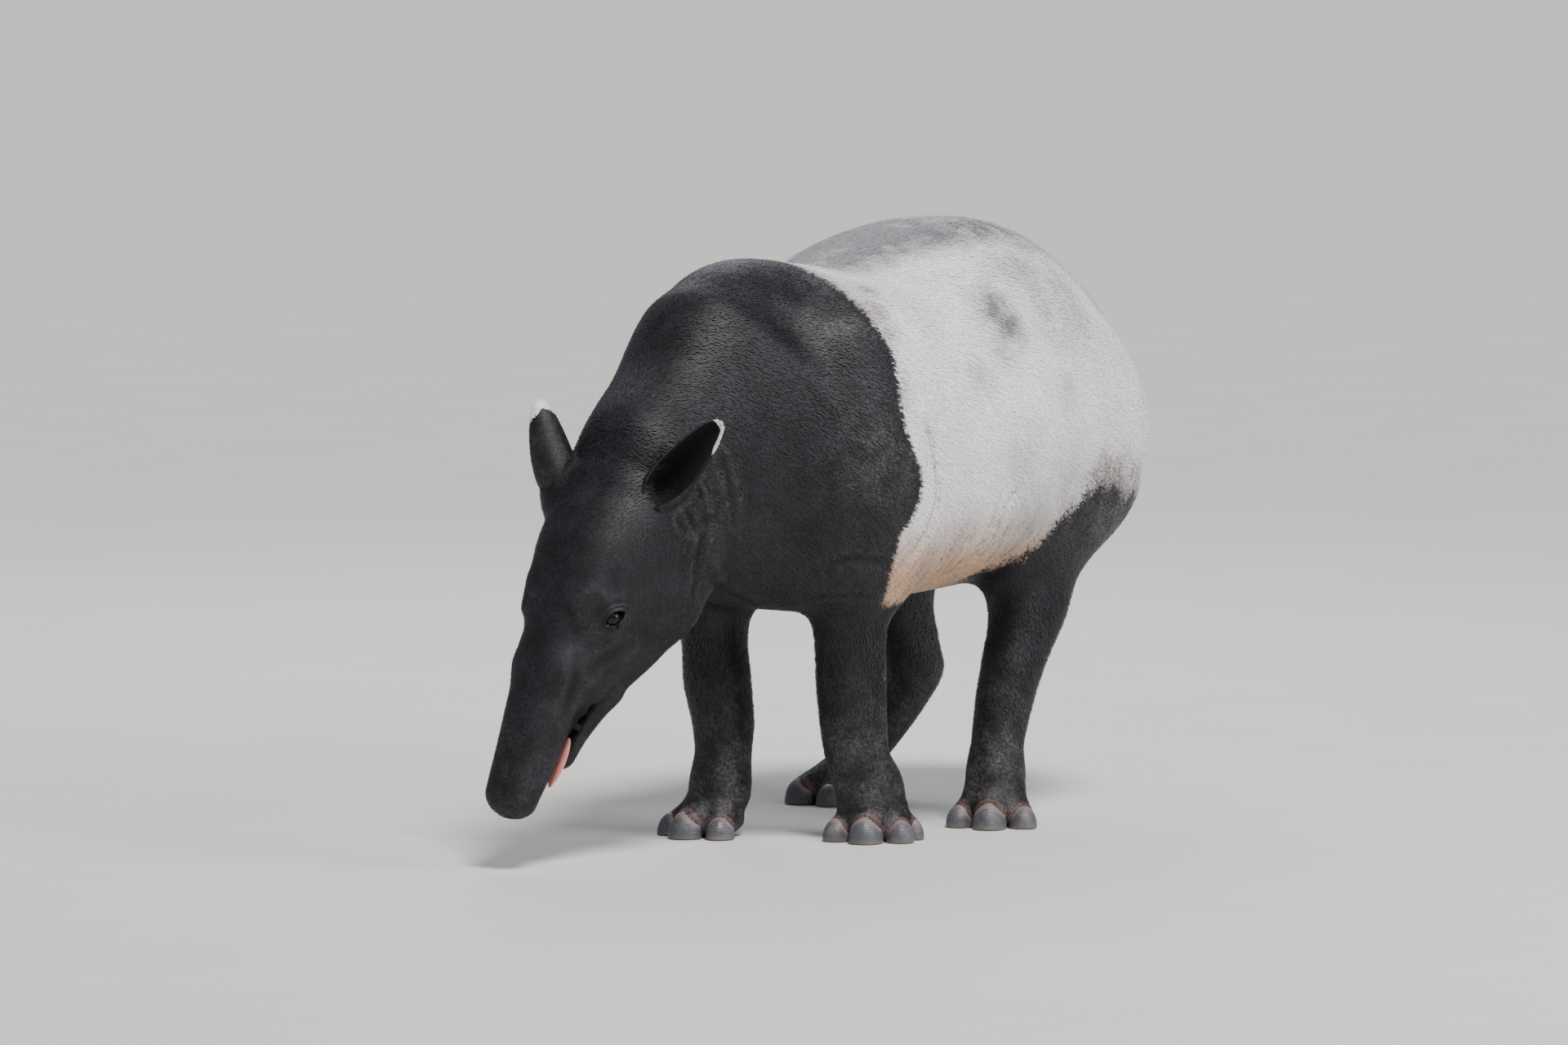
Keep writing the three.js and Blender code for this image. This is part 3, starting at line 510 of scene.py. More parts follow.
# Folds of the skin: points along each, its depth and its half width
FOLDS = [
    ([(299, -196, 745), (303, -180, 687), (304, -168, 637), (299, -169, 594), (289, -180, 552),
      (276, -206, 515)], 5, 6.5),
    ([(201, -54, 451), (271, -79, 516), (292, -59, 559)], 2.6, 5),
    ([(212, -32, 460), (257, -46, 499), (286, -25, 542)], 2.8, 5.5),
    ([(237, 7, 480), (287, 11, 540), (307, 12, 591)], 3, 5.5),
    ([(245, 34, 486), (301, 28, 568), (316, 58, 617)], 3, 5.5),
    ([(235, 73, 475), (268, 66, 515), (297, 59, 551)], 2.6, 5),
    ([(201, -360, 503), (232, -331, 512), (253, -288, 509), (259, -259, 499)], 3, 6),
    ([(160, -330, 440), (204, -299, 446), (228, -252, 440)], 2, 5),
    ([(151, -698, 641), (123, -656, 607), (122, -628, 566)], 6, 5),
    ([(160, -690, 652), (127, -635, 618), (128, -625, 597)], 6, 4.5),
    ([(128, -632, 654), (130, -623, 631), (128, -615, 582)], 5.5, 4.5),
    ([(131, -618, 659), (133, -608, 638), (129, -613, 587)], 5, 4),
    ([(139, -569, 628), (135, -589, 595)], 4, 5),
    ([(118, -677, 594), (119, -652, 573)], 5, 5),
    ([(184, -670, 758), (139, -575, 696), (142, -555, 639), (135, -533, 581)], 3, 7),
    ([(110, -581, 499), (52, -468, 460), (46, -364, 424)], 3, 8),
    ([(128, -617, 586), (112, -607, 501), (102, -618, 445)], 3.5, 7),
]
FOLDS += [
    ([(-x, y + 9, z - 5) for x, y, z in line], depth, width)
    for line, depth, width in FOLDS[:8]
]

# Grooves of the face: beside the ridge of the snout, below the eye, before the eye and at the mouth
FACE_FOLDS = [
    ([(28, -840, 358), (25, -841, 326), (15, -844, 294), (6, -848, 263)], 3.5, 8),
    ([(52, -725, 377), (46, -758, 368), (38, -788, 356), (33, -811, 337)], 3.5, 9),
    ([(49, -827, 447), (60, -809, 440), (68, -800, 434)], 4.5, 12),
    ([(24, -738, 297), (18, -754, 284), (9, -769, 274)], 4, 7),
]
for line, depth, width in FACE_FOLDS:
    there = [HEAD.inside(np.array(point, float)) for point in line]
    FOLDS.append((line, depth, width))
    FOLDS.append(([tuple(HEAD.place(a, -s, u)) for a, s, u in there], depth, width))


def distance_to_line(points, line):
    best = np.full(len(points), FAR)
    for start, end in zip(np.array(line[:-1], float), np.array(line[1:], float)):
        axis = end - start
        t = np.clip((points - start) @ axis / (axis @ axis), 0, 1)
        best = np.minimum(best, length_of(points - start - t[:, None] * axis))
    return best


def near_line(points, line, reach):
    line = np.array(line)
    return np.all((points > line.min(0) - reach) & (points < line.max(0) + reach), axis=1)


def fold_depth(points):
    """How deep the folds press into each point, less the low swelling along their sides."""
    depth_here = np.zeros(len(points))
    for line, depth, width in FOLDS:
        near = near_line(points, line, 4 * width)
        off = distance_to_line(points[near], line)
        ends = np.array(line, float)[[0, -1]]
        from_end = np.min([length_of(points[near] - end) for end in ends], axis=0)
        fade = step(from_end, 0, 4 * width) * 0.8 + 0.2
        depth_here[near] += fade * depth * (bell(off, width) - 0.4 * bell(off - 2.3 * width, width))
    return depth_here


def coat_depth(points):
    """How far the skin lies inside the solids: more on the trunk than on the face and the feet."""
    face = step(HEAD.inside(points)[:, 0], 60, 260) * step(-points[:, 1], 560, 640)
    low = 1 - step(points[:, 2], 90, 260)
    return 3.0 - 1.9 * np.maximum(face, low * 0.9)


# The eye openings and the ear hollows reach into the blend of head and body, so they are cut here.
def skin_value(points, reach=30.0):
    d = body_value(points, reach) + coat_depth(points) + fold_depth(points)
    for hollow in EAR_HOLLOWS:
        cut_away(d, points, hollow, 8, 20)
    gap = lid_gap(points)
    near = gap < 12
    centre = [length_of(points[near] - base.origin) for base in EYE_FRAMES.values()]
    cut = smooth_max(gap[near], EYE_RADIUS - 5 - np.min(centre, axis=0), 2)
    d[near] = smooth_max(d[near], -cut, 2.5)
    # Two ridges of the lids
    near = gap < 40
    d[near] += 1.3 * bell(gap[near] - 7, 1.6) + 1.0 * bell(gap[near] - 14, 2.2)
    return d


# Meshing: one vertex in each cell that the surface crosses, on cells made only near the surface
def slope_of(value, points, step=0.6):
    slope = np.empty_like(points)
    for axis in range(3):
        shift = np.zeros(3)
        shift[axis] = step
        slope[:, axis] = (value(points + shift) - value(points - shift)) / (2 * step)
    return slope


def onto_surface(value, points, limit, rounds=3):
    start = points
    for _ in range(rounds):
        slope = slope_of(value, points)
        steep = np.maximum((slope**2).sum(1), 0.05)
        points = points - slope * (value(points) / steep)[:, None]
    moved = points - start
    far = length_of(moved)
    too_far = far > limit
    moved[too_far] *= (limit / far[too_far])[:, None]
    return start + moved


def one_along(axis):
    return np.eye(3, dtype=int)[axis % 3]


def window(array, start, size):
    """The part of an array that begins at start and has the given size."""
    return array[tuple(slice(a, a + n) for a, n in zip(start, size))]


def mesh_of(value, low, high, cell, coarse=4):
    low = np.array(low, float)
    blocks = np.ceil((np.array(high) - low) / (cell * coarse)).astype(int)
    corners = np.argwhere(np.ones(blocks + 1, bool))
    d = value(low + corners * cell * coarse, reach=3 * cell * coarse).reshape(blocks + 1)
    near = np.abs(d) < 1.1 * cell * coarse
    wanted = np.zeros(blocks, bool)
    for corner in np.ndindex(2, 2, 2):
        wanted |= window(near, corner, blocks)
    shape = blocks * coarse + 1
    values = np.repeat(np.repeat(np.repeat(d, coarse, 0), coarse, 1), coarse, 2)
    values = np.where(window(values, (0, 0, 0), shape) < 0, -FAR, FAR)
    fill = np.zeros(shape, bool)
    for start in np.argwhere(wanted) * coarse:
        window(fill, start, [coarse + 1] * 3)[:] = True
    values[fill] = value(low + np.argwhere(fill) * cell, reach=2 * cell)
    cells = shape - 1
    crossed = np.zeros(cells, int)
    total = np.zeros((*cells, 3))
    crossings = []
    for axis in range(3):
        size = shape - one_along(axis)
        a, b = window(values, (0, 0, 0), size), window(values, one_along(axis), size)
        change = (a < 0) != (b < 0)
        f = np.where(change, a / np.where(change, a - b, 1), 0)
        others = [n for n in range(3) if n != axis]
        # The cells that have this edge at (p, q) on their two other axes
        for p, q in np.ndindex(2, 2):
            shift = np.zeros(3, int)
            shift[others] = p, q
            hit = window(change, shift, cells)
            crossed += hit
            total[..., axis] += np.where(hit, window(f, shift, cells), 0)
            total[..., others[0]] += hit * p
            total[..., others[1]] += hit * q
        edges = np.argwhere(change)
        edges = edges[np.all((edges >= 1) & (edges < cells), axis=1)]
        crossings.append((edges, a[tuple(edges.T)] < 0))
    used = np.argwhere(crossed > 0)
    number = np.full(cells, -1)
    number[tuple(used.T)] = np.arange(len(used))
    points = low + cell * (used + total[tuple(used.T)] / crossed[tuple(used.T)][:, None])
    quads = []
    for axis, (edges, out) in enumerate(crossings):
        side, up = one_along(axis + 1), one_along(axis + 2)
        around = [edges, edges - side, edges - side - up, edges - up]
        quad = np.stack([number[tuple(e.T)] for e in around], 1)
        quad[~out] = quad[~out][:, ::-1]
        quads.append(quad)
    quads = np.concatenate(quads)
    points = onto_surface(value, points, 0.8 * cell)
    # The diagonal whose two triangles agree better
    p = points[quads]

    def facing(a, b, c):
        return unit(np.cross(p[:, b] - p[:, a], p[:, c] - p[:, a]))

    one = (facing(0, 1, 2) * facing(0, 2, 3)).sum(1)
    other = (facing(0, 1, 3) * facing(1, 2, 3)).sum(1)
    better = (one >= other)[:, None]
    first = np.where(better, quads[:, [0, 1, 2]], quads[:, [0, 1, 3]])
    second = np.where(better, quads[:, [0, 2, 3]], quads[:, [1, 2, 3]])
    return points, np.concatenate([first, second])


def triangles(*corners):
    return np.stack(corners, 1)


def split_long_edges(points, faces, longest):
    """Splits each edge longer than longest(middle) once, and the faces with it."""
    edges = np.sort(faces[:, [[0, 1], [1, 2], [2, 0]]].reshape(-1, 2), 1)
    unique, where = np.unique(edges, axis=0, return_inverse=True)
    middle = points[unique].mean(1)
    cut = length_of(points[unique[:, 0]] - points[unique[:, 1]]) > longest(middle)
    new = np.full(len(unique), -1)
    new[cut] = len(points) + np.arange(cut.sum())
    points = np.concatenate([points, middle[cut]])
    mid = new[where.reshape(-1, 3)]
    marks = mid >= 0
    count = marks.sum(1)
    (a, b, c), (ab, bc, ca) = faces[count == 3].T, mid[count == 3].T
    out = [faces[count == 0], triangles(a, ab, ca), triangles(ab, b, bc), triangles(ca, bc, c)]
    out.append(triangles(ab, bc, ca))
    for k in range(3):
        turn = [k, (k + 1) % 3, (k + 2) % 3]
        # One edge cut, from corner k to the next
        one = (count == 1) & marks[:, k]
        (a, b, c), ab = faces[one][:, turn].T, mid[one][:, k]
        out += [triangles(a, ab, c), triangles(ab, b, c)]
        # Two edges cut: all but the one from corner k to the next
        two = (count == 2) & ~marks[:, k]
        (a, b, c), (_, bc, ca) = faces[two][:, turn].T, mid[two][:, turn].T
        short = (length_of(points[a] - points[bc]) < length_of(points[b] - points[ca]))[:, None]
        out.append(triangles(bc, c, ca))
        out.append(np.where(short, triangles(a, b, bc), triangles(a, b, ca)))
        out.append(np.where(short, triangles(a, bc, ca), triangles(b, bc, ca)))
    return points, np.concatenate(out)


# Longest edges of the skin on the trunk, the legs, the head and the snout
BROAD_EDGE = 17.6
LEG_EDGE = 9.5
HEAD_EDGE = 6.5
SNOUT_EDGE = 4.5


def edge_length_wanted(points):
    q = HEAD.inside(points)
    legs = 1 - step(points[:, 2], 330, 420)
    feet = 1 - step(points[:, 2], 70, 110)
    wanted = BROAD_EDGE - (BROAD_EDGE - LEG_EDGE) * legs - 3.5 * feet
    on_head = step(q[:, 0], -60, 60) * step(-points[:, 1], 480, 620)
    wanted = np.minimum(wanted, BROAD_EDGE - (BROAD_EDGE - HEAD_EDGE) * on_head)
    snout = step(q[:, 0], 350, 400) * step(-points[:, 1], 600, 640)
    wanted = np.minimum(wanted, BROAD_EDGE - (BROAD_EDGE - SNOUT_EDGE) * snout)
    for base in EYE_FRAMES.values():
        far = length_of(points - base.origin)
        wanted = np.minimum(wanted, 1.8 + 4.5 * step(far, 26, 60) + 12 * step(far, 60, 140))
    for line, _, width in FOLDS:
        near = near_line(points, line, 8 * width)
        off = distance_to_line(points[near], line)
        at_fold = 0.9 * width + 12 * step(off, 3 * width, 8 * width)
        wanted[near] = np.minimum(wanted[near], at_fold)
    return wanted


def place_object(name, data):
    obj = bpy.data.objects.new(name, data)
    bpy.context.scene.collection.objects.link(obj)
    return obj


def make_object(name, points, faces, material, marks=None):
    """A mesh of points in millimetres in the frame of the forms, with a value per point for each mark."""
    mesh = bpy.data.meshes.new(name)
    mesh.vertices.add(len(points))
    mesh.vertices.foreach_set("co", ((points + SHIFT) / 1000).astype(np.float32).ravel())
    mesh.loops.add(faces.size)
    mesh.loops.foreach_set("vertex_index", faces.astype(np.int32).ravel())
    mesh.polygons.add(len(faces))
    mesh.polygons.foreach_set("loop_start", np.arange(0, faces.size, 3, dtype=np.int32))
    mesh.polygons.foreach_set("use_smooth", np.ones(len(faces), bool))
    for key, values in (marks or {}).items():
        layer = mesh.attributes.new(key, "FLOAT", "POINT")
        layer.data.foreach_set("value", values.astype(np.float32))
    mesh.update()
    obj = place_object(name, mesh)
    mesh.materials.append(material)
    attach(obj, "root")
    return obj


# Markings. Each is a smooth value at a point; the materials add the fine grain. The edges of the white
# saddle are rows of (height, back) in front and (back, height) behind.
FRONT_EDGE = [
    (380, -228), (455, -235), (494, -247), (523, -250), (550, -250), (574, -231), (605, -215),
    (632, -212), (661, -215), (693, -232), (730, -248), (781, -254), (827, -249), (863, -244),
    (890, -253), (927, -264), (954, -269), (982, -255), (1003, -252), (1020, -250),
]
REAR_EDGE = [
    (-160, 250), (-120, 290), (-60, 350), (-20, 385), (18, 415), (62, 440), (89, 457), (138, 472),
    (177, 484), (200, 503), (222, 527), (248, 557), (288, 592), (324, 612), (382, 604), (439, 586),
    (560, 576), (700, 585), (900, 600),
]
LEG_FORMS = TRUNK_FORMS[-4:]


def saddle_edge(points):
    """Centimetres from the saddle's edge into the white, negative on the black, and how ragged it is."""
    x, y, z = points.T
    front = y - np.interp(z, *zip(*FRONT_EDGE)) + 9 * np.sin(z / 70) * (x < 0)
    inward = 90 * (1 - step(np.abs(x), 60, 210))
    rear = 0.85 * (z - np.interp(y - inward, *zip(*REAR_EDGE)))
    edge = smooth_min(front, rear, 30)
    for form, _ in LEG_FORMS:
        near = form.near(points, 80)
        edge[near] = smooth_min(edge[near], form.value(points[near]) - 18, 16)
    return edge / 10, step(front - rear, -30, 60)


def blobs(points, spots):
    """Soft round patches: (centre, radius, strength)."""
    total = np.zeros(len(points))
    for centre, radius, strength in spots:
        total = np.maximum(total, strength * bell(length_of(points - np.array(centre)), radius))
    return total


DIRT_SPOTS = [
    ((249, 79, 930), 46, 0.75), ((272, 96, 894), 42, 0.85), ((286, 62, 853), 34, 0.5),
    ((211, 223, 988), 85, 0.62), ((219, 315, 963), 95, 0.5), ((262, 229, 917), 75, 0.42),
    ((175, -202, 968), 26, 0.6), ((214, -232, 930), 24, 0.7), ((232, -226, 890), 26, 0.5),
    ((287, -17, 818), 40, 0.32), ((307, 235, 776), 46, 0.3), ((300, 60, 640), 70, 0.22),
    ((284, -72, 552), 60, 0.3), ((286, 120, 540), 80, 0.55), ((300, 250, 620), 80, 0.4),
    ((-250, 60, 930), 75, 0.6), ((-285, 150, 800), 60, 0.35), ((-284, -40, 560), 80, 0.4),
    ((-290, 260, 640), 80, 0.4),
]
DUSTY_SPOTS = [
    ((117, -269, 962), 40, 0.5), ((196, -305, 909), 42, 0.55), ((140, -336, 895), 45, 0.4),
    ((108, -353, 909), 40, 0.35), ((-16, -328, 1003), 60, 0.4), ((262, -284, 700), 90, 0.3),
    ((294, 400, 560), 80, 0.5), ((-150, -330, 905), 55, 0.4),
]
SCARS = [
    ([(160, -322, 915), (150, -318, 904)], 5),
    ([(156, -296, 938), (146, -290, 934)], 4),
    ([(192, -325, 890), (186, -331, 873)], 5.5),
    ([(-6, -391, 978), (2, -392, 977)], 5),
    ([(208, -262, 926), (213, -258, 912)], 4),
]
SPINE = [(0, -70, 1075), (0, 90, 1065), (0, 330, 1005), (0, 480, 940)]


def lift(field, near, value):
    """Raises a field to a value at the points picked by near, in place."""
    field[near] = np.maximum(field[near], value)


def markings(points):
    x, y, z = points.T
    q = HEAD.inside(points)
    band = np.exp(-((distance_to_line(points, SPINE) / (138 + 0.12 * np.maximum(y, 0))) ** 6))
    dirt = np.maximum(blobs(points, DIRT_SPOTS), band * (0.95 - 0.35 * step(y, 200, 480)))
    fold = fold_depth(points)
    # Painted shade in the folds of the skin: the deeper the fold, the darker it is painted
    crease_shade = np.clip(fold / 2.2, 0, 1)
    behind_cheek = (x > 90) & (y < -545) & (z > 550)
    snout = step(q[:, 0], 250, 380) * (y < -600)
    gap = lid_gap(points)
    dust = blobs(points, DUSTY_SPOTS)
    # Dust on the lower legs and at the ground, and painted highlights: lighter ridges beside the folds and
    # a light wet line along the lids
    for level in (
        np.clip(-fold, 0, 1) * np.where(behind_cheek, 0.2, 0.08),
        0.34 * (1 - step(z, 120, 330)) * (1 - 0.8 * snout),
        0.9 * (1 - step(z, 4, 46)),
        0.2 * bell(gap - 1, 1.2),
    ):
        dust = np.maximum(dust, level)
    dust *= 1 - 0.8 * crease_shade
    pink = np.zeros(len(points))
    for line, width in SCARS:
        near = near_line(points, line, 30)
        lift(pink, near, bell(distance_to_line(points[near], line), width))
    for form in HOOF_FORMS.values():
        near = (z < 90) & form.near(points, 14)
        lift(pink, near, 0.3 * bell(form.value(points[near]) - 2, 1.6))
    mouth = np.full(len(points), 1.0)
    near = q[:, 0] > MOUTH_CORNER - 30
    mouth[near] = np.clip(mouth_value(points[near]) / 5, -1, 1)
    pink = np.maximum(pink, 0.5 * step(-mouth, 0.5, 1) * (q[:, 0] > MOUTH_CORNER + 30))
    # Painted shade: the corners of the mouth and the ears' hollows are painted the blackest, where shade
    # falls
    deep = np.exp(-((length_of(q - (MOUTH_CORNER + 4, 0, -74)) / 62) ** 4)) * 0.85
    deep *= q[:, 2] < -30
    for hollow in EAR_HOLLOWS:
        near = hollow.near(points, 30)
        lift(deep, near, 1 - step(hollow.value(points[near]), 4, 24))
    edge, ragged = saddle_edge(points)
    marks = dict(crease_shade=crease_shade, saddle=edge, ragged=ragged, dirt=dirt, tan=1 - step(z, 460, 600))
    return dict(marks, dust=dust * (1 - deep), pink=pink, deep=deep)


# Materials
class Nodes:
    """Adds nodes to a material by short calls; an input may be a value or another node's output."""

    def __init__(self, name):
        self.material = bpy.data.materials.new(name)
        self.material.use_nodes = True
        self.tree = self.material.node_tree
        self.shader = self.tree.nodes["Principled BSDF"]
        self.object = self.tree.nodes.new("ShaderNodeTexCoord").outputs["Object"]

    def feed(self, socket, value):
        if isinstance(value, bpy.types.NodeSocket):
            self.tree.links.new(value, socket)
        elif isinstance(value, tuple) and len(socket.default_value) == 4:
            socket.default_value = (*value, 1)
        else:
            socket.default_value = value

    def set(self, **inputs):
        for key, value in inputs.items():
            self.feed(self.shader.inputs[key.replace("_", " ")], value)

    def add(self, kind, output, inputs, **settings):
        node = self.tree.nodes.new("ShaderNode" + kind)
        for key, value in settings.items():
            setattr(node, key, value)
        for key, value in inputs.items():
            self.feed(node.inputs[key], value)
        return node.outputs[output]

    def mark(self, name):
        return self.add("Attribute", "Fac", {}, attribute_name=name)

    def math(self, operation, a, b=0.0, clamp=False):
        return self.add("Math", 0, {0: a, 1: b}, operation=operation, use_clamp=clamp)

    def times(self, a, b, clamp=False):
        return self.math("MULTIPLY", a, b, clamp)

    def ramp(self, value, low, high, to_low=0.0, to_high=1.0):
        inputs = dict(enumerate((value, low, high, to_low, to_high)))
        return self.add("MapRange", 0, inputs, interpolation_type="SMOOTHSTEP")

    def noise(self, scale, detail=3.0, stretch=(1, 1, 1), rough=0.55, turn=(0, 0, 0)):
        """Noise in the object's frame, turned by angles in degrees and then stretched."""
        spot = {
            "Vector": self.object,
            "Rotation": [math.radians(angle) for angle in turn],
            "Scale": [1 / share for share in stretch],
        }
        at = self.add("Mapping", 0, spot, vector_type="TEXTURE")
        grain = {"Scale": scale, "Detail": detail, "Roughness": rough, "Vector": at}
        return self.add("TexNoise", "Fac", grain)

    def mix(self, share, a, b, blend="MIX"):
        inputs = {"Factor": share, "A": a, "B": b}
        return self.add("Mix", "Result", inputs, data_type="RGBA", blend_type=blend)

    def bump(self, height, distance, strength=1.0, **normal):
        inputs = {"Strength": strength, "Distance": distance, "Height": height, **normal}
        return self.add("Bump", "Normal", inputs)


WHITE = (0.88, 0.86, 0.865)
SHADED_WHITE = (0.74, 0.71, 0.72)
GREY_DIRT = (0.135, 0.119, 0.135)
# Brown of the dirt at the saddle's fringe, also the painted shade in the folds and the belly's wrinkles
BROWN_DIRT_AND_CREASE_SHADE = (0.2, 0.15, 0.125)
WARM_BELLY = (0.62, 0.38, 0.215)
BLACK = (0.0042, 0.0039, 0.0054)
SOFT_BLACK = (0.0115, 0.0105, 0.0152)
# Near black of the painted shade in the folds, the mouth's corners and the ears' hollows
SHADE_BLACK = (0.0015, 0.0014, 0.0014)
# Grey of the dust, also the painted highlights on the ridges beside the folds and along the lids
DUST_AND_HIGHLIGHT = (0.092, 0.084, 0.086)
PINK = (0.42, 0.225, 0.2)


def coat_colour(nodes):
    """The colour of hair and skin alike, from the marks on the mesh and grain in the object's own frame."""
    mark, ramp, mix, times = nodes.mark, nodes.ramp, nodes.mix, nodes.times
    broad = nodes.noise(5.5, 4)
    patchy = nodes.noise(24, 4)
    fine = nodes.noise(160, 3)
    streaks = nodes.noise(420, 2, (1.0, 0.35, 0.6))
    wrinkles = nodes.noise(34, 1, (0.3, 1, 0.1), 0.4, (-27, 0, 0))
    wrinkles = ramp(nodes.math("ABSOLUTE", nodes.math("SUBTRACT", wrinkles, 0.5)), 0, 0.03, 1, 0)
    # The edge of the saddle is sharp in front and hairy behind
    wander = nodes.math("ADD", ramp(fine, 0.3, 0.7, -1, 1), ramp(patchy, 0.3, 0.7, -0.8, 0.8))
    wander = times(wander, ramp(mark("ragged"), 0, 1, 0.1, 1.25))
    edge = nodes.math("ADD", mark("saddle"), wander)
    soft = ramp(mark("ragged"), 0, 1, 0.3, 1.7)
    white_share = ramp(edge, times(soft, -1.0), soft)
    dirt = times(mark("dirt"), ramp(patchy, 0.32, 0.62, 0.78, 1.2), True)
    dirt = times(dirt, ramp(broad, 0.3, 0.6, 0.75, 1.15), True)
    fringe = times(ramp(edge, 5.0, 0.3), ramp(broad, 0.42, 0.62, 0.05, 0.7))
    # Painted shade: brown lines along the creases of the belly's wrinkles
    wrinkle = times(times(times(wrinkles, mark("tan")), 0.6), white_share)
    pale = mix(ramp(broad, 0.35, 0.65, 0, 0.8), WHITE, SHADED_WHITE)
    for share, colour in (
        (times(mark("tan"), 0.95), WARM_BELLY),
        (times(dirt, 0.92), GREY_DIRT),
        (fringe, BROWN_DIRT_AND_CREASE_SHADE),
        (times(ramp(fine, 0.66, 0.78), 0.25), GREY_DIRT),
        (wrinkle, BROWN_DIRT_AND_CREASE_SHADE),
        # Painted shade: the folds are darker brown on the white
        (times(mark("crease_shade"), 0.7), BROWN_DIRT_AND_CREASE_SHADE),
    ):
        pale = mix(share, pale, colour)
    pale = mix(1.0, pale, ramp(streaks, 0.3, 0.7, 0.9, 1.06), "MULTIPLY")
    # Dust, and the painted highlights on fold ridges and lids
    dust = times(mark("dust"), ramp(patchy, 0.36, 0.66, 0.25, 1.3), True)
    dust = times(dust, ramp(fine, 0.3, 0.65, 0.5, 1.2), True)
    dark = mix(ramp(patchy, 0.3, 0.7), BLACK, SOFT_BLACK)
    dark = mix(dust, dark, DUST_AND_HIGHLIGHT)
    dark = mix(1.0, dark, ramp(streaks, 0.3, 0.7, 0.72, 1.25), "MULTIPLY")
    dark = mix(1.0, dark, ramp(fine, 0.35, 0.65, 0.7, 1.4), "MULTIPLY")
    # Painted shade: the folds are near black on the black
    dark = mix(times(mark("crease_shade"), 0.9), dark, SHADE_BLACK)
    colour = mix(white_share, dark, pale)
    colour = mix(times(mark("pink"), ramp(fine, 0.3, 0.6, 0.5, 1.1), True), colour, PINK)
    # Painted shade: near black in the mouth's corners and the ears' hollows
    return mix(mark("deep"), colour, SHADE_BLACK), streaks, wrinkle, white_share


SHEEN = {"Sheen_Weight": 0.025, "Sheen_Roughness": 0.35, "Sheen_Tint": (0.75, 0.76, 1.0)}


def skin_material():
    nodes = Nodes("skin_look")
    colour, streaks, wrinkle, _ = coat_colour(nodes)
    normal = nodes.bump(streaks, 0.0012, 0.5)
    normal = nodes.bump(nodes.noise(900, 2, (1.0, 0.25, 0.5)), 0.0008, 0.6, Normal=normal)
    normal = nodes.bump(nodes.times(wrinkle, -1.0), 0.003, 1.0, Normal=normal)
    # Rough where shade is painted near black, so that it takes no highlight
    rough = nodes.ramp(nodes.mark("deep"), 0, 1, 0.56, 0.95)
    nodes.set(Base_Color=colour, Roughness=rough, Normal=normal, Specular_IOR_Level=0.35, **SHEEN)
    return nodes.material


def coat_material():
    nodes = Nodes("coat_look")
    colour, _, _, white_share = coat_colour(nodes)
    # Each tuft is a little lighter or darker than the next
    own = nodes.math("SUBTRACT", nodes.mark("tuft"), 0.5)
    own = nodes.math("ADD", nodes.times(own, nodes.ramp(white_share, 0, 1, 0.55, 0.14)), 1.0)
    colour = nodes.mix(1.0, colour, own, "MULTIPLY")
    # Rough where shade is painted near black, so that it takes no highlight
    rough = nodes.ramp(nodes.mark("deep"), 0, 1, 0.53, 0.95)
    nodes.set(Base_Color=colour, Roughness=rough, Specular_IOR_Level=0.42, **SHEEN)
    return nodes.material


HORN = (0.036, 0.037, 0.044)
PALE_HORN = (0.105, 0.105, 0.12)
HOOF_DUST = (0.2, 0.165, 0.14)
CUTICLE = (0.3, 0.2, 0.18)


def hoof_material():
    nodes = Nodes("hoof_look")
    streaks = nodes.noise(260, 4, (1, 1, 0.12))
    rings = nodes.noise(120, 3, (0.2, 0.2, 1.6))
    patchy = nodes.noise(40, 4)
    colour = nodes.mix(streaks, HORN, PALE_HORN)
    colour = nodes.mix(nodes.ramp(patchy, 0.48, 0.72, 0, 0.5), colour, HOOF_DUST)
    colour = nodes.mix(nodes.times(nodes.mark("worn"), 0.4), colour, HOOF_DUST)
    colour = nodes.mix(nodes.times(nodes.mark("cuticle"), 0.55), colour, CUTICLE)
    normal = nodes.bump(nodes.math("ADD", nodes.times(streaks, 0.6), nodes.times(rings, 0.8)), 0.0015, 0.6)
    nodes.set(Base_Color=colour, Roughness=nodes.ramp(patchy, 0.3, 0.7, 0.38, 0.62), Normal=normal)
    return nodes.material


PUPIL = (0.002, 0.002, 0.0025)
EYE_RIM = (0.004, 0.0036, 0.0046)
IRIS = ((0.002, 0.0018, 0.0026), (0.005, 0.0042, 0.0056))


def eye_material():
    nodes = Nodes("eye_look")
    off = nodes.mark("from_axis")
    iris = nodes.mix(nodes.noise(900, 3), *IRIS)
    colour = nodes.mix(nodes.ramp(off, 0.26, 0.3), PUPIL, iris)
    colour = nodes.mix(nodes.ramp(off, 0.62, 0.72), colour, EYE_RIM)
    nodes.set(Base_Color=colour, Roughness=0.25, Specular_IOR_Level=0.15)
    nodes.set(Coat_Weight=0.3, Coat_Roughness=0.06)
    return nodes.material


def tongue_material():
    nodes = Nodes("tongue_look")
    colour = nodes.mix(nodes.noise(60, 4), (0.56, 0.17, 0.15), (0.75, 0.33, 0.29))
    nodes.set(Base_Color=colour, Roughness=0.3, Subsurface_Weight=0.15, Subsurface_Scale=0.004)
    nodes.set(Subsurface_Radius=(1.0, 0.35, 0.2), Coat_Weight=0.4, Coat_Roughness=0.15)
    nodes.set(Normal=nodes.bump(nodes.noise(700, 2), 0.001, 0.5))
    return nodes.material


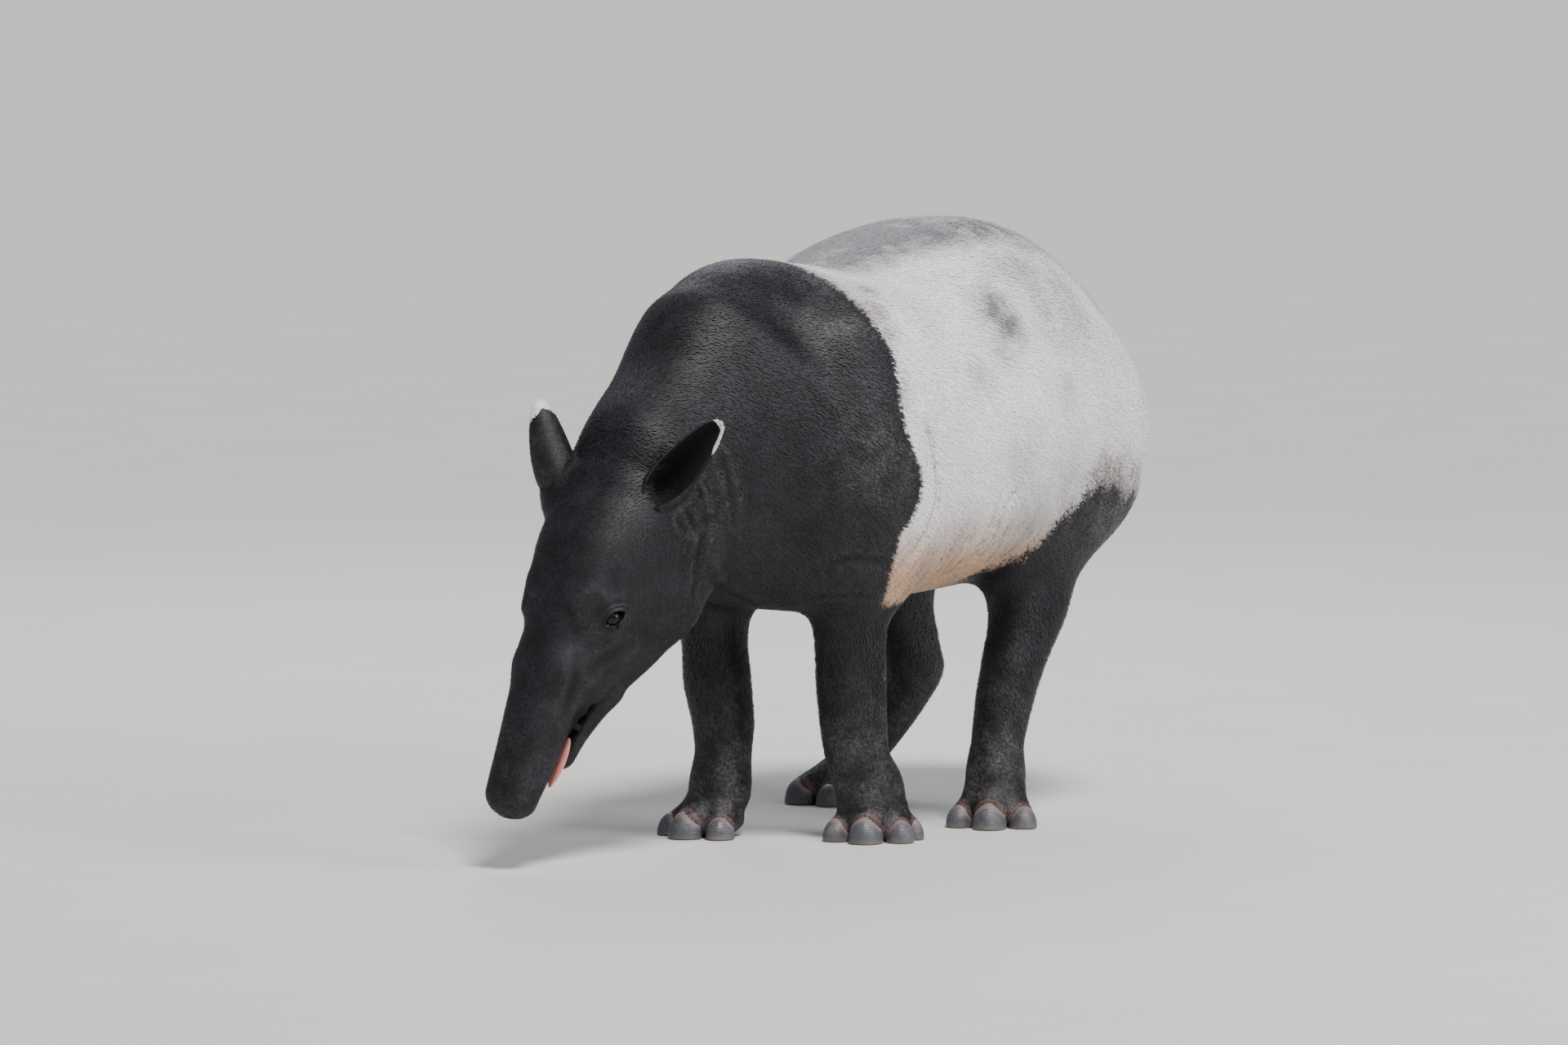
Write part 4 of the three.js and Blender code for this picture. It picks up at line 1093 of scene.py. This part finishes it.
# Hooves: a dome cut flat on the ground, on the end of each toe
HOOF_FORMS = {}
HOOF_FRAMES = {}
for foot_name, foot in FEET.items():
    for toe_name, toe in toes_of(foot).items():
        key = f"hoof_{foot_name}_{toe_name}"
        ball = foot_frame(foot).place(toe["forward"], toe["outward"] * foot["outer"], 0)
        HOOF_FRAMES[key] = looking(ball, foot["heading"] + toe["splay"] * foot["outer"], 0, 0)
        radius = toe["radius"]
        radii = (radius + HOOF_REACH, radius + 3, radius + 0.75 * toe["height"])
        HOOF_FORMS[key] = ellipsoid(HOOF_FRAMES[key], (2, 0, 4), radii)

skin_look = skin_material()
coat_look = coat_material()

# Skin
LOW, HIGH = (-372, -960, -10), (356, 810, 1100)
SKIN_CELL = 12
skin_points, skin_faces = mesh_of(skin_value, LOW, HIGH, SKIN_CELL)
for turn in range(4):
    before = len(skin_points)
    skin_points, skin_faces = split_long_edges(skin_points, skin_faces, edge_length_wanted)
    fresh = np.arange(before, len(skin_points))
    if not len(fresh):
        break
    skin_points[fresh] = onto_surface(skin_value, skin_points[fresh], 8, rounds=2)
skin_points[:, 2] = np.maximum(skin_points[:, 2], 0.3)
print("skin", len(skin_points), len(skin_faces))
skin = make_object("skin", skin_points, skin_faces, skin_look, markings(skin_points))
FLESH = ["torso", "tail", "neck", "head", "snout", "lower_jaw"]
for kind in ("fore", "hind"):
    for side in ("left", "right"):
        FLESH += [f"{kind}_leg_{side}", f"{kind}_foot_{side}"]
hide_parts(*FLESH)

# Hooves
HOOF_CELL = 2.6
hoof_look = hoof_material()
for key, form in HOOF_FORMS.items():
    toe_frame = HOOF_FRAMES[key]

    def hoof_value(points, reach=0, form=form, toe_frame=toe_frame):
        q = toe_frame.inside(points)
        d = form.value(points) + 0.5 + 0.25 * np.sin(q[:, 2] * 1.3 + 0.4 * np.sin(q[:, 1] * 0.3))
        d = smooth_max(d, 0.4 - points[:, 2], 2.5)
        return smooth_max(d, -3.5 - q[:, 0], 2)

    low = np.maximum(form.low - 4, (-2000, -2000, -3))
    points, faces = mesh_of(hoof_value, low, form.high + 4, HOOF_CELL, coarse=3)
    marks = {"cuticle": bell(skin_value(points) - 1, 1.5), "worn": 1 - step(points[:, 2], 1, 13)}
    hoof = make_object(key + "_shell", points, faces, hoof_look, marks)
    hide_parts(key)

# Eyes: a ball with a low bulge over the iris
eye_look = eye_material()


def globe(rings, around):
    """Points of a unit ball in rings from its pole at +x, and the faces between them."""
    tilt = np.linspace(0, math.pi, rings + 1)[1:-1]
    turn = np.linspace(0, 2 * math.pi, around, endpoint=False)
    ring = [(math.cos(a), math.sin(a) * math.cos(b), math.sin(a) * math.sin(b)) for a in tilt for b in turn]
    points = np.array([(1, 0, 0), *ring, (-1, 0, 0)])
    faces = []
    for j in range(around):
        k = (j + 1) % around
        faces.append((0, 1 + j, 1 + k))
        for i in range(rings - 2):
            a, b = 1 + i * around, 1 + (i + 1) * around
            faces += [(a + j, b + j, b + k), (a + j, b + k, a + k)]
        a = 1 + (rings - 2) * around
        faces.append((a + j, len(points) - 1, a + k))
    return points, np.array(faces)


ball, faces = globe(40, 48)
off = np.arccos(np.clip(ball[:, 0], -1, 1))
radius = (EYE_RADIUS - 0.3) + 1.1 * bell(off, 0.55)
for side, base in EYE_FRAMES.items():
    look, other = base.axes[:, 1], base.axes[:, 0]
    points = base.origin + radius[:, None] * (ball @ np.array([look, other, np.cross(look, other)]))
    eye = make_object(f"eyeball_{side}", points, faces, eye_look, {"from_axis": off})
    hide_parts(f"eye_{side}")

# Tongue: flat, with a groove along its middle, hanging out at the left of the mouth
TONGUE = frame_along(HEAD, (496, 25, -83.5), (1, -0.1, -0.14), (0, 1, 0))
TONGUE_LENGTH, TONGUE_HALF, TONGUE_THICK = 46, 13, 5
ball, faces = globe(48, 40)
a, s, u = ball.T
s = s * (1 - 0.25 * step(a, 0.2, 1.0))
groove = 1.6 * bell(s, 0.16) * (u > 0) * (1 - a**2)
lump = 0.5 * np.sin(a * 9 + 2 * s) * (1 - a**2)
local = np.stack([a * TONGUE_LENGTH, s * TONGUE_HALF, u * TONGUE_THICK - groove + lump * u], 1)
tongue = make_object("tongue_skin", TONGUE.origin + local @ TONGUE.axes.T, faces, tongue_material())
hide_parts("tongue")

# Ears: a thin cup with a rounded rim, closed at the root and open towards the tip. Rows are (share of
# the length, radius of the cup, half of the angle that its wall goes round).
EAR_ROWS = [
    (0, 33, 150), (0.14, 38, 132), (0.32, 38, 108), (0.52, 35, 92), (0.7, 30, 80), (0.84, 25, 68),
    (0.94, 19, 54), (0.98, 14.5, 42), (1, 10, 18),
]
EAR_STATIONS = 56
EAR_AROUND = 44
EAR_RIM = 4
sweep = np.linspace(-1, 1, EAR_AROUND)
bend = np.linspace(0, math.pi, EAR_RIM + 2)[1:-1]
table_t, table = curve_through(EAR_ROWS)
ear_grids = {}
for side, ear in EARS.items():
    base = EAR_FRAMES[side]
    rings, marks = [], []
    for t in 1 - (1 - np.linspace(0, 1, EAR_STATIONS)) ** 1.6:
        radius, half = (np.interp(t, table_t, column) for column in table.T)
        half = math.radians(half)
        lean = (radius - EAR_ROWS[0][1]) * 0.55
        wall = (EAR_THICKNESS - 1.4) * (1 - 0.4 * t)
        outer = radius - 0.7
        middle = outer - wall / 2
        rim = [(middle + wall / 2 * math.cos(b), wall / 2 * math.sin(b) / middle) for b in bend]
        path = [(outer, half * k, k, 1) for k in sweep]
        path += [(r, half + over, 1, 0) for r, over in rim]
        path += [(outer - wall, half * k, k, -1) for k in sweep[::-1]]
        path += [(r, -half - over, -1, 0) for r, over in rim[::-1]]
        a = t * (ear["length"] - 1) - 24 * (1 - t)
        for r, angle, k, face in path:
            rings.append(base.place(a, lean - r * math.cos(angle), r * math.sin(angle)))
            marks.append((t, k, face))
    count = len(path)
    last = (EAR_STATIONS - 1) * count
    faces = []
    for low in range(0, last, count):
        for j in range(count):
            k = (j + 1) % count
            faces += [(low + j, low + k, low + count + k), (low + j, low + count + k, low + count + j)]
    # Strips across the wall close both ends
    ends = []
    for j in range(EAR_AROUND - 1):
        k = 2 * EAR_AROUND + EAR_RIM - 1 - j
        ends += [(j, j + 1, k), (j + 1, k - 1, k)]
    for first in (EAR_AROUND - 1, 2 * EAR_AROUND + EAR_RIM - 1):
        loop = [n % count for n in range(first, first + EAR_RIM + 2)]
        ends += [(loop[0], loop[n], loop[n + 1]) for n in range(1, len(loop) - 1)]
    faces += [end[::-1] for end in ends]
    faces += [tuple(last + n for n in end) for end in ends]
    points, faces = np.array(rings), np.array(faces)
    volume = (points[faces[:, 0]] * np.cross(points[faces[:, 1]], points[faces[:, 2]])).sum()
    if volume < 0:
        faces = faces[:, ::-1]
    t, k, face = np.array(marks).T
    inside = (face < 0).astype(float)
    # White at the tip, and at one side of the near ear
    if side == "left":
        white = step(t + 0.02 * k, 0.93, 0.97) + step(t, 0.68, 0.78) * step(k, 0.5, 0.75) * (face <= 0)
    else:
        white = step(t + 0.12 * np.abs(k), 0.88, 0.93)
    marks = markings(points)
    marks["saddle"] = np.where(white > 0.5, 3.0, -3.0)
    for key, level in (("dirt", 0.06), ("tan", 0.0), ("ragged", 0.0), ("dust", 0.12)):
        marks[key] = np.full(len(points), level)
    # Painted shade: the inside of each ear's cup is painted near black
    marks["deep"] = inside * (white < 0.5)
    shell = make_object(f"ear_shell_{side}", points, faces, skin_look, marks)
    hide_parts(f"ear_{side}")
    ear_grids[side] = (points, faces, marks, inside)


# Coat: flat leaf-shaped tufts of hair that lie along the body
def lie_of(points):
    """The direction that the hair points in, before it is laid on the surface."""
    q = HEAD.inside(points)
    head = step(q[:, 0], -30, 110) * step(-points[:, 1], 520, 640)
    leg = (1 - step(points[:, 2], 330, 520)) * (1 - head)
    up_the_face = -HEAD.axes[:, 0] + 0.35 * (np.sign(q[:, 1])[:, None] * HEAD.axes[:, 1])
    lie = np.array([0, 0.86, -0.5]) * (1 - head - leg)[:, None]
    return lie + up_the_face * head[:, None] + np.array([0, 0.12, -1.0]) * leg[:, None]


def blend_corners(corners, u, v):
    return corners[0] * (1 - u - v)[:, None] + corners[1] * u[:, None] + corners[2] * v[:, None]


def sample_surface(points, faces, per_square_metre, keep):
    p = points[faces]
    cross = np.cross(p[:, 1] - p[:, 0], p[:, 2] - p[:, 0])
    weight = length_of(cross) / 2 * per_square_metre(p.mean(1)) * 1e-6
    chosen = np.repeat(np.arange(len(faces)), rng.poisson(weight))
    u, v = rng.random((2, len(chosen)))
    over = u + v > 1
    u[over], v[over] = 1 - u[over], 1 - v[over]
    roots = blend_corners(points[faces[chosen]].swapaxes(0, 1), u, v)
    corner = np.zeros_like(points)
    for n in range(3):
        np.add.at(corner, faces[:, n], cross)
    normals = unit(blend_corners(unit(corner)[faces[chosen]].swapaxes(0, 1), u, v))
    kept = keep(roots)
    return roots[kept], normals[kept]


def atlas_place(roots, normals):
    """A place on a flat layout of the surface for each root: one of six views by the way it faces."""
    axis = np.abs(normals).argmax(1)
    chart = axis * 2 + (normals[np.arange(len(roots)), axis] > 0)
    uv = np.empty((len(roots), 2))
    for n in np.unique(chart):
        here = chart == n
        flat = roots[here][:, [m for m in range(3) if m != n // 2]]
        size = max((flat.max(0) - flat.min(0)).max(), 1)
        inner = (flat - flat.min(0)) / size * 0.94 + 0.03
        uv[here] = (np.array([n % 3, n // 3]) + inner) / np.array([3, 3])
    return uv


TUFT_PATCH = 0.003


def tufts(name, roots, normals, lie, length, width, rise, marks):
    """One joined mesh of leaves of four points: root, two sides and a tip."""
    n = len(roots)
    lie = unit(lie - normals * (lie * normals).sum(1)[:, None])
    lie = unit(lie + np.cross(normals, lie) * rng.normal(0, 0.2, n)[:, None])
    side = np.cross(normals, lie)
    size = rng.uniform(0.75, 1.2, n)[:, None]
    length, width = length[:, None] * size, width[:, None] * size
    rise = rise[:, None] * rng.uniform(0.55, 1.0, n)[:, None]
    root = roots - normals * 0.5
    middle = roots + lie * length * 0.45 + normals * rise * 0.72
    half = side * width / 2
    tip = roots + lie * length + normals * rise + side * rng.normal(0, 0.4, n)[:, None]
    points = np.stack([root, middle - half, middle + half, tip], 1).reshape(-1, 3)
    first = 4 * np.arange(n)[:, None]
    faces = np.concatenate([first + [0, 1, 2], first + [1, 3, 2]])
    marks = {key: np.repeat(value, 4) for key, value in marks.items()}
    marks["tuft"] = np.repeat(rng.random(n), 4)
    coat = make_object(name, points, faces, coat_look, marks)
    # Each leaf is shaded nearly as the skin under it, a little rounder across
    shade = np.stack([normals, normals - side * 0.3, normals + side * 0.3, normals + lie * 0.25], 1)
    coat.data.normals_split_custom_set_from_vertices(unit(shade.reshape(-1, 3)).astype(np.float32))
    offsets = np.array([(0, -0.5), (-0.5, 0), (0.5, 0), (0, 0.5)]) * TUFT_PATCH
    uv = (atlas_place(roots, normals)[:, None] + offsets).reshape(-1, 2)
    layer = coat.data.uv_layers.new(name="OFBake")
    layer.data.foreach_set("uv", uv[faces.ravel()].astype(np.float32).ravel())
    print(name, n)


def fineness(points, on_feet):
    """How fine the hair is: 1 on the face, on_feet at the feet and 0 on the trunk."""
    face = step(HEAD.inside(points)[:, 0], -40, 220) * step(-points[:, 1], 540, 660)
    return np.maximum(face, (1 - step(points[:, 2], 60, 330)) * on_feet)


def hair_sizes(points):
    """Length, width and rise of the tufts: smallest on the face and the feet."""
    small = fineness(points, 0.85)
    return 11.5 - 6.8 * small, 2.1 - 0.95 * small, coat_depth(points) * 0.95


def tuft_density(points):
    return 1.0 * (88000 + 120000 * fineness(points, 0.8))


def hairy(points):
    """Where hair grows: not on the eyes, in the mouth or the nostrils, nor under the feet."""
    good = (lid_gap(points) > 1.5) & (points[:, 2] > 3)
    good &= (fold_depth(points) < 1.7) | (points[:, 1] < -560)
    near = HEAD.inside(points)[:, 0] > MOUTH_CORNER - 10
    good[near] &= mouth_value(points[near]) > 2.5
    for pit, _ in NOSTRILS:
        near = pit.near(points, 10)
        good[near] &= pit.value(points[near]) > 1.5
    for form in HOOF_FORMS.values():
        near = (points[:, 2] < 90) & form.near(points, 8)
        good[near] &= form.value(points[near]) > 0.8
    return good


roots, normals = sample_surface(skin_points, skin_faces, tuft_density, hairy)
x, y, z = roots.T
q = HEAD.inside(roots)
is_head = (q[:, 0] > 10) & (y < -500)
is_leg = (z < 420) & ~is_head
regions = {
    "coat_head_left": is_head & (q[:, 1] > 0),
    "coat_head_right": is_head & (q[:, 1] <= 0),
    "coat_legs_fore": is_leg & (y < -40),
    "coat_legs_hind": is_leg & (y >= -40),
}
for part, start, end in (("front", -FAR, -200), ("middle", -200, 160), ("rump", 160, FAR)):
    here = ~is_head & ~is_leg & (y >= start) & (y < end)
    regions[f"coat_{part}_left"] = here & (x > 0)
    regions[f"coat_{part}_right"] = here & (x <= 0)
for name, here in regions.items():
    at, n = roots[here], normals[here]
    tufts(name, at, n, lie_of(at), *hair_sizes(at), markings(at))
EAR_TUFTS = 210000
for side, (points, faces, marks, inside) in ear_grids.items():
    outside = faces[inside[faces].sum(1) == 0]
    at, n = sample_surface(points, outside, lambda p: EAR_TUFTS, lambda p: np.ones(len(p), bool))
    ones = np.ones(len(at))
    nearest = np.array([np.abs(points - p).sum(1).argmin() for p in at])
    own = {key: value[nearest] for key, value in marks.items()}
    lie = np.tile(EAR_FRAMES[side].axes[:, 0], (len(at), 1))
    tufts(f"coat_ear_{side}", at, n, lie, 5.5 * ones, 1.2 * ones, 0.9 * ones, own)


# Floor, lights and camera
def floor_material():
    nodes = Nodes("floor_look")
    colour = nodes.mix(nodes.noise(2.5, 5), (0.6, 0.59, 0.57), (0.66, 0.65, 0.63))
    nodes.set(Base_Color=colour, Roughness=0.75, Normal=nodes.bump(nodes.noise(90, 4), 0.001, 0.2))
    return nodes.material


FLOOR_RADIUS = 120
FLOOR_CORNERS = 96
floor_mesh = bpy.data.meshes.new("floor")
turn = np.linspace(0, 2 * math.pi, FLOOR_CORNERS, endpoint=False)
edge = [(FLOOR_RADIUS * math.cos(a), FLOOR_RADIUS * math.sin(a), 0) for a in turn]
floor_mesh.from_pydata(edge, [], [tuple(range(FLOOR_CORNERS))])
floor = place_object("floor", floor_mesh)
floor_mesh.materials.append(floor_material())
floor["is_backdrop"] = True


def add_light(name, kind, power, colour, toward, **settings):
    """A light that shines from the side that toward points to."""
    light = bpy.data.lights.new(name, kind)
    light.energy = power
    light.color = colour
    for key, value in settings.items():
        setattr(light, key, value)
    lamp = place_object(name, light)
    lamp.rotation_euler = Vector(toward).to_track_quat("Z", "Y").to_euler()
    return lamp


add_light("key", "SUN", 4.1, (1, 0.985, 0.96), (0.46, -0.3, 0.88), angle=math.radians(16))
SOFT_LIGHTS = [
    ("fill", (5.5, 0.5, 3.2), (0, 0, 0.5), 200, (0.93, 0.95, 1)),
    ("back", (-3.0, 3.2, 4.6), (0, 0, 0.7), 110, (0.92, 0.96, 1)),
]
for name, at, target, power, colour in SOFT_LIGHTS:
    lamp = add_light(name, "AREA", power, colour, Vector(at) - Vector(target), shape="DISK", size=3.0)
    lamp.location = at
world = bpy.data.worlds.new("studio")
world.use_nodes = True
background = world.node_tree.nodes["Background"]
background.inputs["Color"].default_value = (0.86, 0.9, 0.96, 1)
background.inputs["Strength"].default_value = 0.3
bpy.context.scene.world = world

CAMERA_AT = (8.8491, -12.3838, 1.73)
CAMERA_TILT = 4.465
CAMERA_TURN = 36
camera_data = bpy.data.cameras.new("camera")
camera_data.sensor_width = 36
camera_data.lens = 197.5
camera_data.clip_end = 300
camera = place_object("camera", camera_data)
camera.location = (CAMERA_AT[0] + SHIFT[0] / 1000, CAMERA_AT[1] + SHIFT[1] / 1000, CAMERA_AT[2])
camera.rotation_euler = (math.radians(90 - CAMERA_TILT), 0, math.radians(CAMERA_TURN))
bpy.context.scene.camera = camera

boxes = {"cad": CAD_BOX, "visual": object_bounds()}
{key: [list(map(float, corner)) for corner in box] for key, box in boxes.items()}
